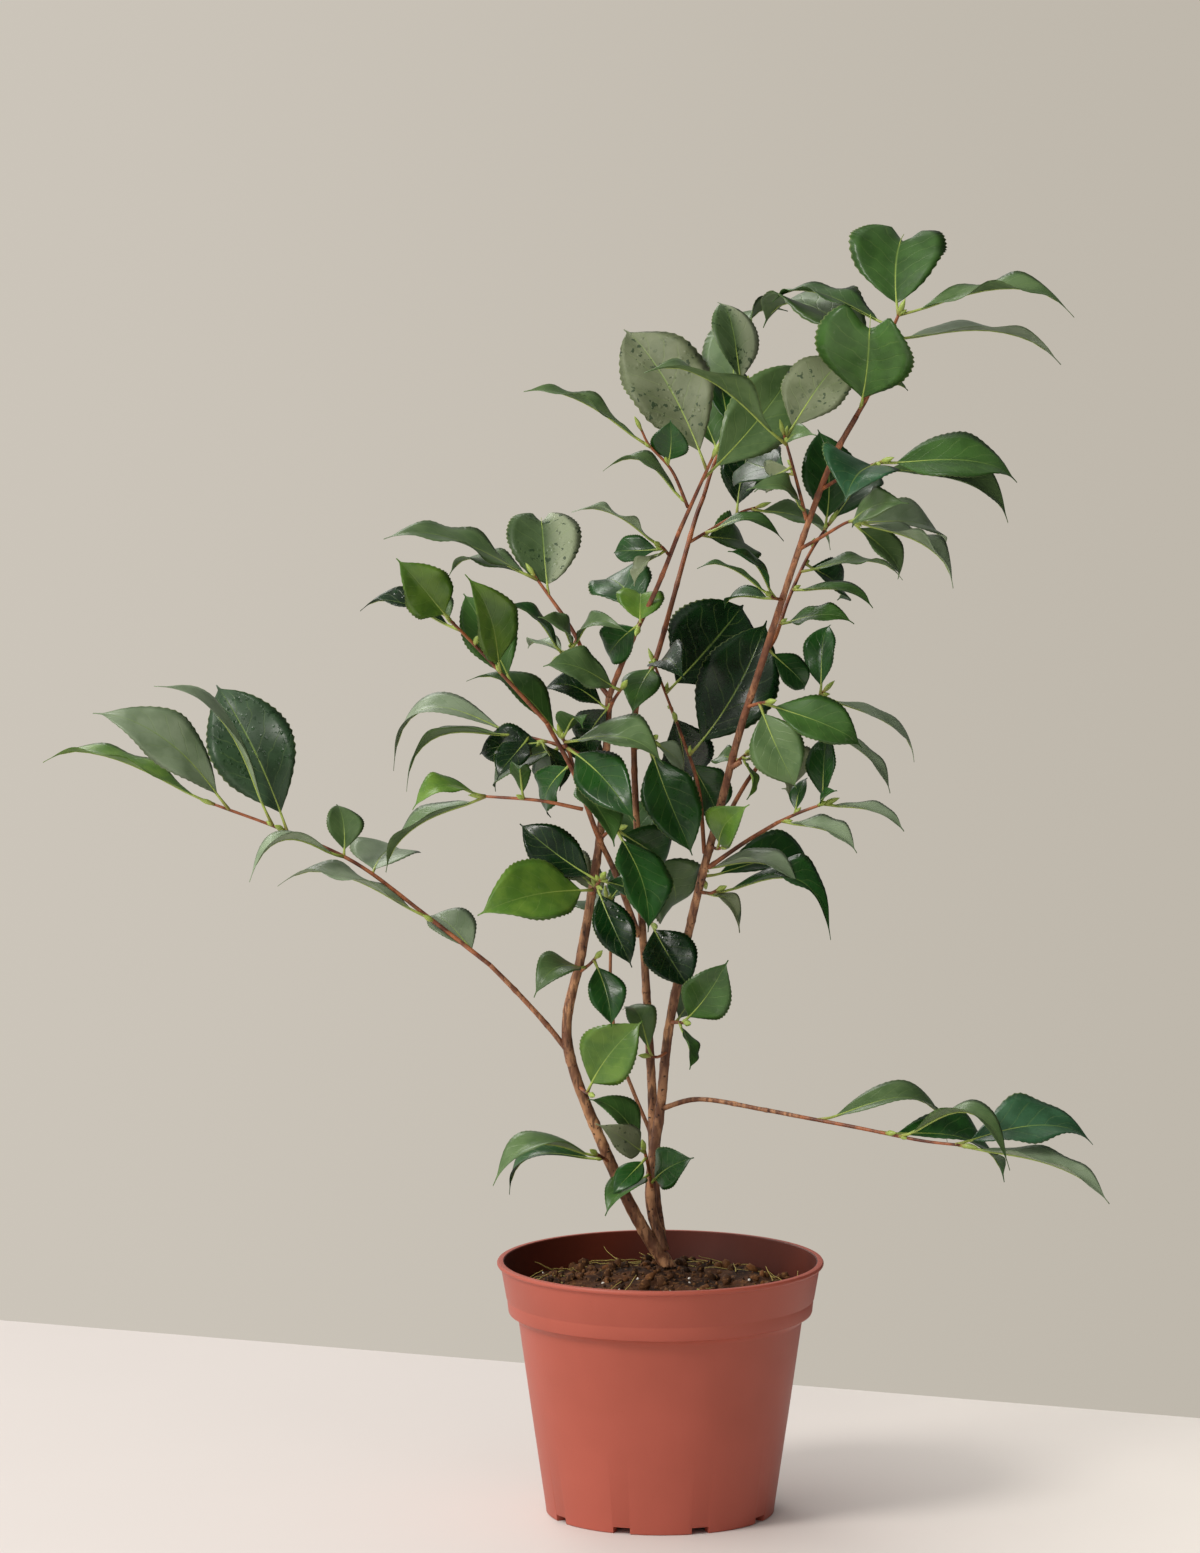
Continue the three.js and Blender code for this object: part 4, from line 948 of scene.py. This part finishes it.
# A leaf's colours: its own, the deeper one that mottles it, how wet it is and how rough. "s" is a pale
# green that paints a sheen of light, "g" a grey-green, partly the leaf's own and partly a painted
# reflection, and "w" the darkest green, partly the leaf's own and partly painted shade. SHEEN
# is the colour of the half that a "v" leaf turns to the light, a painted sheen.
TONES = {
    "w": (colour(12, 44, 13), colour(7, 29, 8), 0.8, 0.28),
    "d": (colour(32, 74, 25), colour(20, 55, 16), 0.15, 0.3),
    "m": (colour(58, 92, 38), colour(44, 74, 28), 0.0, 0.36),
    "b": (colour(93, 125, 44), colour(66, 102, 33), 0.0, 0.32),
    "g": (colour(84, 108, 64), colour(64, 90, 48), 0.0, 0.34),
    "s": (colour(124, 140, 112), colour(102, 120, 90), 0.0, 0.34),
    "t": (colour(50, 92, 60), colour(36, 74, 44), 0.1, 0.32),
    "v": (colour(74, 96, 58), colour(58, 80, 42), 0.9, 0.42),
    "p": (colour(106, 114, 84), colour(90, 100, 68), 0.9, 0.58),
    "r": (colour(56, 82, 54), colour(42, 66, 40), 1.0, 0.4),
}
SHEEN = colour(132, 142, 112)


def blade_outline(u, widest):
    """The half breadth at u (0 to 1) as a share of the widest, which a blunt leaf has at `widest`."""
    if widest:
        foot = np.sin(np.pi / 2 * np.clip(u / widest, 0, 1)) ** (4 * widest - 1.5)
        return foot * np.sqrt(np.clip(1 - (np.clip(u - widest, 0, 1) / (1 - widest)) ** 2, 0, 1))
    body = np.sin(np.pi * np.clip(u / 0.95, 0, 1)) ** 0.8 * np.clip(u / 0.3, 0, 1) ** 0.15
    return np.maximum(body, 1.1 * (1 - u) * u**4)


def heading(clock, fore):
    """The direction of a leaf from its clock direction and its lean to the front."""
    clock, fore = math.radians(clock), math.radians(fore)
    return Vector((math.sin(clock) * math.cos(fore), -math.sin(fore), math.cos(clock) * math.cos(fore)))


def upper_face(along, posture, jitter):
    """The way that a leaf's upper face looks."""
    if posture["roll"] is None:
        return (Vector((0, 0, 1)) - along * along.z).normalized()
    front = Vector((0, -1, 0))
    front = (front - along * along.dot(front)).normalized()
    up = along.cross(front)
    if up.z < 0:
        up.negate()
    roll = math.radians(posture["roll"] + jitter)
    return up * math.cos(roll) + front * math.sin(roll)


class Leaf:
    """One leaf: its place and pose by the frame's seeded rule, and its finer shape by a rule of its own."""

    def __init__(self, root, row, draw, fine):
        _, clock, fore, self.length, name, broader, tone = row
        posture = POSTURES[name]
        self.root = root
        width = posture.get("breadth", 1) * broader
        usual = BASE_BREADTH + BREADTH_PER_LENGTH * self.length
        self.breadth = (BREADTH_SHARE + BREADTH_SPREAD * draw()) * width * usual
        self.fold = math.radians(FOLD + FOLD_SPREAD * draw())
        self.twist = math.radians(TWIST_SPREAD * (draw() - 0.5))
        self.sweep = SWEEP_SPREAD * (draw() - 0.5) * self.length
        jitter = ROLL_SPREAD * (draw() - 0.5)
        self.bow = posture["arch"] * (ARCH_SHARE + ARCH_SPREAD * draw()) * self.length
        self.along = heading(clock, fore)
        self.face = upper_face(self.along, posture, jitter)
        self.across = self.along.cross(self.face)
        self.blunt = width > BLUNT_FROM and name != "half"
        excess = width - BLUNT_FROM
        self.widest = 0.52 + 0.3 * excess if self.blunt else None
        self.tone = tone
        self.notch = min(0.26, 0.08 + 0.45 * excess) * self.length
        self.cleft = (0.1 + 0.3 * excess) * self.breadth
        self.hook = (0.04 if self.blunt else lerp(0.02, 0.08, fine())) * self.length
        self.waves = [(lerp(0.8, 2.6, fine()), fine() * 6.28, lerp(0.008, 0.03, fine()) * self.length)
                      for _ in range(2)]
        self.light = lerp(0.86, 1.16, fine())
        self.crown = lerp(0.05, 0.3, fine())

    def spine(self, s):
        """Points of the midrib at shares s of the length, in millimetres."""
        s = np.asarray(s)[:, None]
        bend = 5.38 * s**1.5 * (1 - s)
        hook = self.hook * np.clip((s - 0.8) / 0.2, 0, 1) ** 2
        return (np.array(self.root) / MM + np.array(self.along) * self.length * s
                + np.array(self.face) * (self.bow * bend - hook)
                + np.array(self.across) * self.sweep * 4 * s * (1 - s))

    def blade(self):
        """The blade as arrays: an upper and a lower sheet that share their rim."""
        u = np.linspace(0, 1, LEAF_STATIONS + 1)
        u = 1 - (1 - u) ** 1.5 if self.blunt else u**0.95
        v = np.linspace(-1, 1, LEAF_COLUMNS + 1)
        s = STALK + (1 - STALK) * u
        half = np.maximum(self.breadth / 2 * blade_outline(u, self.widest), 0.35)
        spine = self.spine(s)
        turn = self.twist * s
        side = (np.cos(turn)[:, None] * np.array(self.across) + np.sin(turn)[:, None] * np.array(self.face))
        up = (np.cos(turn)[:, None] * np.array(self.face) - np.sin(turn)[:, None] * np.array(self.across))
        teeth = 1 + TEETH * np.where(np.arange(LEAF_STATIONS + 1) % 2, 1, -1)
        reach = half[:, None] * v * np.cos(self.fold)
        reach[:, 0] *= teeth
        reach[:, -1] *= teeth
        level = np.abs(v) * (1 + self.crown * (1 - np.abs(v)))
        rise = half[:, None] * math.sin(self.fold) * level
        for count, phase, size in self.waves:
            wave = np.sin(2 * np.pi * count * u[:, None] + phase + np.sign(v) * 1.1)
            rise = rise + size * wave * np.abs(v) ** 2 * np.sin(np.pi * u)[:, None]
        top = spine[:, None] + side[:, None] * reach[:, :, None] + up[:, None] * rise[:, :, None]
        if self.blunt:
            middle = 1 - np.clip(np.abs(reach) / self.cleft, 0, 1) ** 1.5
            sunk = self.notch * middle * np.clip(2 * u - 1, 0, 1)[:, None] ** 2
            top = top - np.array(self.along) * sunk[:, :, None]
        thick = LEAF_THICKNESS * (1 - v**4)[None, :, None]
        under = (top - up[:, None] * thick)[:, 1:-1]
        return top * MM, under * MM, u, v

    def sheet(self):
        """The blade as a part for joined: its upper faces with both ends, and its lower faces."""
        top, under, u, v = self.blade()
        rows, columns = top.shape[:2]
        inner = columns - 2
        base = rows * columns

        def upper(i, j):
            return i * columns + j

        def lower(i, j):
            return upper(i, j) if j in (0, columns - 1) else base + i * inner + j - 1

        cells = [(i, j) for i in range(rows - 1) for j in range(columns - 1)]
        upper_faces = [[upper(i, j), upper(i, j + 1), upper(i + 1, j + 1), upper(i + 1, j)] for i, j in cells]
        lower_faces = [[lower(i, j), lower(i + 1, j), lower(i + 1, j + 1), lower(i, j + 1)] for i, j in cells]
        ends = [[upper(i, j) for j in range(columns)] + [lower(i, j) for j in range(columns - 2, 0, -1)]
                for i in (0, rows - 1)]
        ends[0].reverse()
        points = np.concatenate([top.reshape(-1, 3), under.reshape(-1, 3)])
        return points, (upper_faces + ends, lower_faces), self.dealt(u, v)

    def dealt(self, u, v):
        """What the finishes read at each vertex: place in the blade, colours, wetness and roughness."""
        own, deep, wet, rough = TONES[self.tone]
        grid = np.stack(np.broadcast_arrays(u[:, None], v[None, :] / 2 + 0.5), -1)
        where = np.concatenate([grid.reshape(-1, 2), grid[:, 1:-1].reshape(-1, 2)])
        # On a "v" leaf the half turned to the light takes SHEEN, a painted sheen.
        shiny = np.clip(4 * where[:, 1:] - 2, 0, 1) * (self.tone == "v")

        def lit(tone):
            return (1 - shiny) * np.append(self.light * np.array(tone[:3]), 1) + shiny * np.array(SHEEN)

        return {"blade": where, "tint": lit(own), "deep": lit(deep),
                "wet": np.full(len(where), wet), "rough": np.full(len(where), rough)}


# ---------------------------------------------------------------- shoots
TWIG_STEP, TWIG_SIDES = 2.4, 8
TIP_BUD_LENGTH, TIP_BUD_SHARE = 9, 1.5
SPUR_BUD_LENGTH, SPUR_BUD_RADIUS = 7, 1.1
AXIL_BUD_CHANCE, AXIL_BUD_LENGTHS, AXIL_BUD_RADIUS = 0.45, (4, 6.5), 0.9
BUD_SIDES = 6
# A bud's width, in its radii, at shares of its length.
BUD_SHAPE = [(0, 0.75), (0.12, 0.8), (0.3, 1.25), (0.5, 1.4), (0.72, 1.0), (0.9, 0.45), (1, 0.08)]


def grow_shoots():
    """Every shoot's leaves, and the twigs, stalks and buds as two meshes."""
    twigs, stalks = bmesh.new(), bmesh.new()
    youth = twigs.verts.layers.float.new("youth")
    warmth = stalks.verts.layers.float.new("warmth")
    leaves = {}
    for number, (name, ((foot, tip), path, rows)) in enumerate(SHOOTS.items()):
        draw, fine = stream(SHOOT_SEED + number), stream(FINE_SEED + number)
        route = Route(path)
        grow_twig(twigs, youth, route, foot, tip)
        grow_bud(stalks, warmth, route.point(1), route.tangent(1), TIP_BUD_LENGTH, tip / 2 * TIP_BUD_SHARE)
        spurs = int(route.length / MM / SPUR_SPACING)
        for i in range(spurs):
            t = (i + 0.4 + 0.4 * draw()) / spurs
            spin = draw() * 2 * math.pi
            out = (Vector((math.cos(spin), math.sin(spin), 0.4)) + route.tangent(t) * 0.8).normalized()
            grow_bud(stalks, warmth, route.point(t), out, SPUR_BUD_LENGTH, SPUR_BUD_RADIUS)
        leaves[name] = []
        for place, row in enumerate(rows):
            leaf = Leaf(route.point(row[0]), row, draw, fine)
            if (name, place) in LEFT_OUT:
                continue
            leaves[name].append(leaf)
            grow_stalk(stalks, warmth, leaf)
            if fine() < AXIL_BUD_CHANCE:
                out = (leaf.along + route.tangent(row[0]) * 0.9).normalized()
                grow_bud(stalks, warmth, leaf.root, out, lerp(*AXIL_BUD_LENGTHS, fine()), AXIL_BUD_RADIUS)
    piece("shoot_twigs", mesh_from(twigs, "shoot_twigs"), [bark()], "bark", *SHOOTS)
    piece("leaf_stalks", mesh_from(stalks, "leaf_stalks"), [green_stalk()], "foliage", *SHOOTS)
    return leaves


def grow_twig(form, layer, route, foot, tip):
    """A shoot's own stem, slightly uneven and younger towards its tip."""
    steps = max(5, round(route.length / (TWIG_STEP * MM)))
    shares = [i / steps for i in range(steps + 1)]
    points = [route.along(share) for share in shares]
    radii = [lerp(foot, tip, share) / 2 * (1 + 0.08 * noise.noise(point * 160)) * MM
             for share, point in zip(shares, points)]
    grow_tube(form, points, radii, TWIG_SIDES, layer, [lerp(0.75, 1.0, share) for share in shares])


def grow_bud(form, layer, root, along, length, radius):
    """A pointed bud with a swollen middle, warm at its foot."""
    points = [root + along * length * MM * t for t, _ in BUD_SHAPE]
    radii = [radius * width * MM for _, width in BUD_SHAPE]
    grow_tube(form, points, radii, BUD_SIDES, layer, [max(0, 0.7 - 2 * t) for t, _ in BUD_SHAPE])


def grow_stalk(form, layer, leaf):
    """A leaf's stalk, which runs on under the blade as its midrib."""
    shares = np.linspace(0, STALK + (1 - STALK) * MIDRIB_END, STALK_STATIONS)
    depths = [0, 0.1, LEAF_THICKNESS * 0.9, LEAF_THICKNESS * 0.8]
    sunk = np.interp(shares, [0, STALK, STALK + 0.05, 1], depths)
    spine = leaf.spine(shares)
    points = [Vector(p - np.array(leaf.face) * d) * MM for p, d in zip(spine, sunk)]
    radii = [float(radius) * MM for radius in np.interp(shares, *STALK_RADII)]
    grow_tube(form, points, radii, STALK_SIDES, layer, [max(0, 0.5 - 5 * share) for share in shares])


# ---------------------------------------------------------------- the stage
# Painted shade on the camera's wall: its colour is lighter on the left and darker towards the right.
WALL_LEFT = colour(204, 197, 186)
WALL_RIGHT = colour(190, 183, 171)
WALL_REACH = 0.1
DOME_LEFT = (1.6, 1.56, 1.5, 1)
DOME_RIGHT = (0.1, 0.1, 0.105, 1)
DOME_REACH = 0.9
GLOSSY_STRENGTH = 0.35
FLOOR_SIZE = (6, 4, 0.02)
FLOOR_TURN = math.radians(-21.64)
FLOOR_BACK = 0.335
KEY = {"place": (-1.7, -1.3, 2.0), "target": (0, 0, 0.25), "size": 0.9, "power": 41,
       "tone": (1, 0.965, 0.92)}
BACK = {"place": (-0.9, 2.2, 1.9), "target": (0, 0, 0.4), "size": 1.2, "power": 12,
        "tone": (1, 0.98, 0.95)}


def make_camera():
    data = bpy.data.cameras.new("camera")
    data.sensor_width = SENSOR
    data.lens = FOCAL_PIXELS / max(IMAGE) * SENSOR
    data.clip_start, data.clip_end = CLIP
    camera = placed("camera", data)
    camera.location = CAMERA_PLACE
    camera.rotation_euler = (math.radians(90) - CAMERA_PITCH, 0, 0)
    bpy.context.scene.camera = camera


def make_light(name, place, target, size, power, tone):
    data = bpy.data.lights.new(name, "AREA")
    data.shape, data.size, data.energy, data.color = "DISK", size, power, tone
    lamp = placed(name, data)
    lamp.location = place
    lamp.rotation_euler = (Vector(target) - Vector(place)).to_track_quat("-Z", "Y").to_euler()


def make_world():
    """A warm grey wall for the camera, painted darker towards the right as painted shade, and a soft dome,
    bright on the left, for all other rays.
    """
    world = bpy.data.worlds.new("studio")
    bpy.context.scene.world = world
    world.use_nodes = True
    world.node_tree.nodes.clear()
    graph = Graph(world.node_tree)
    path = graph.node("ShaderNodeLightPath")

    def shade_across(left, right, reach, strength):
        place = graph.out(graph.node("ShaderNodeTexCoord"), "Generated")
        across = graph.out(graph.node("ShaderNodeSeparateXYZ", None, {0: place}), 0)
        tone = graph.mixed(graph.between(across, -reach, reach), left, right)
        return graph.out(graph.node("ShaderNodeBackground", None, {"Color": tone, "Strength": strength}), 0)

    def chosen(ray, other, this):
        inputs = {0: graph.out(path, ray), 1: other, 2: this}
        return graph.out(graph.node("ShaderNodeMixShader", None, inputs), 0)

    dome = shade_across(DOME_LEFT, DOME_RIGHT, DOME_REACH, 1.0)
    sheen = shade_across(DOME_LEFT, DOME_RIGHT, DOME_REACH, GLOSSY_STRENGTH)
    wall = shade_across(WALL_LEFT, WALL_RIGHT, WALL_REACH, 1.0)
    view = chosen("Is Camera Ray", chosen("Is Glossy Ray", dome, sheen), wall)
    graph.node("ShaderNodeOutputWorld", None, {"Surface": view})


def make_floor():
    """A pale slab whose back edge runs slightly away to the right, painted darker on the left, under the key
    lamp, as painted shade.
    """
    form = bmesh.new()
    bmesh.ops.create_cube(form, size=1)
    bmesh.ops.scale(form, vec=FLOOR_SIZE, verts=form.verts)
    bmesh.ops.translate(form, vec=(0, -FLOOR_SIZE[1] / 2, -FLOOR_SIZE[2] / 2), verts=form.verts)
    bmesh.ops.rotate(form, cent=(0, 0, 0), matrix=Matrix.Rotation(FLOOR_TURN, 3, "Z"), verts=form.verts)
    bmesh.ops.translate(form, vec=(0, FLOOR_BACK, 0), verts=form.verts)
    floor = placed("floor", mesh_from(form, "floor", smooth=False))
    finish = Finish("pale_floor", Roughness=0.6, Specular_IOR_Level=0.3)
    grain = finish.blotches(6, 3)
    # Painted shade: the floor's colour is darker on the left, where the key lamp lights it most, and paler on
    # the right.
    lit = finish.mixed(grain, colour(212, 205, 201), colour(215, 208, 204))
    shaded = finish.mixed(grain, colour(235, 228, 221), colour(238, 232, 225))
    finish.feed(Base_Color=finish.mixed(finish.between(finish.across(), -0.1, 0.35), lit, shaded))
    floor.data.materials.append(finish.material)


# ---------------------------------------------------------------- the scene
bpy.context.scene.view_settings.view_transform = "Standard"
make_camera()
make_world()
make_floor()
make_light("key", **KEY)
make_light("back", **BACK)

leaf_finishes = [leaf("leaf_upper", True), leaf("leaf_under", False)]
make_pot()
make_soil()
make_wood()
grown = grow_shoots()
names = list(grown)
half = len(names) // 2
for title, nodes in (("leaves_lower", names[:half]), ("leaves_upper", names[half:])):
    blades = [one.sheet() for node in nodes for one in grown[node]]
    piece(title, joined(title, blades), leaf_finishes, "foliage", *nodes)
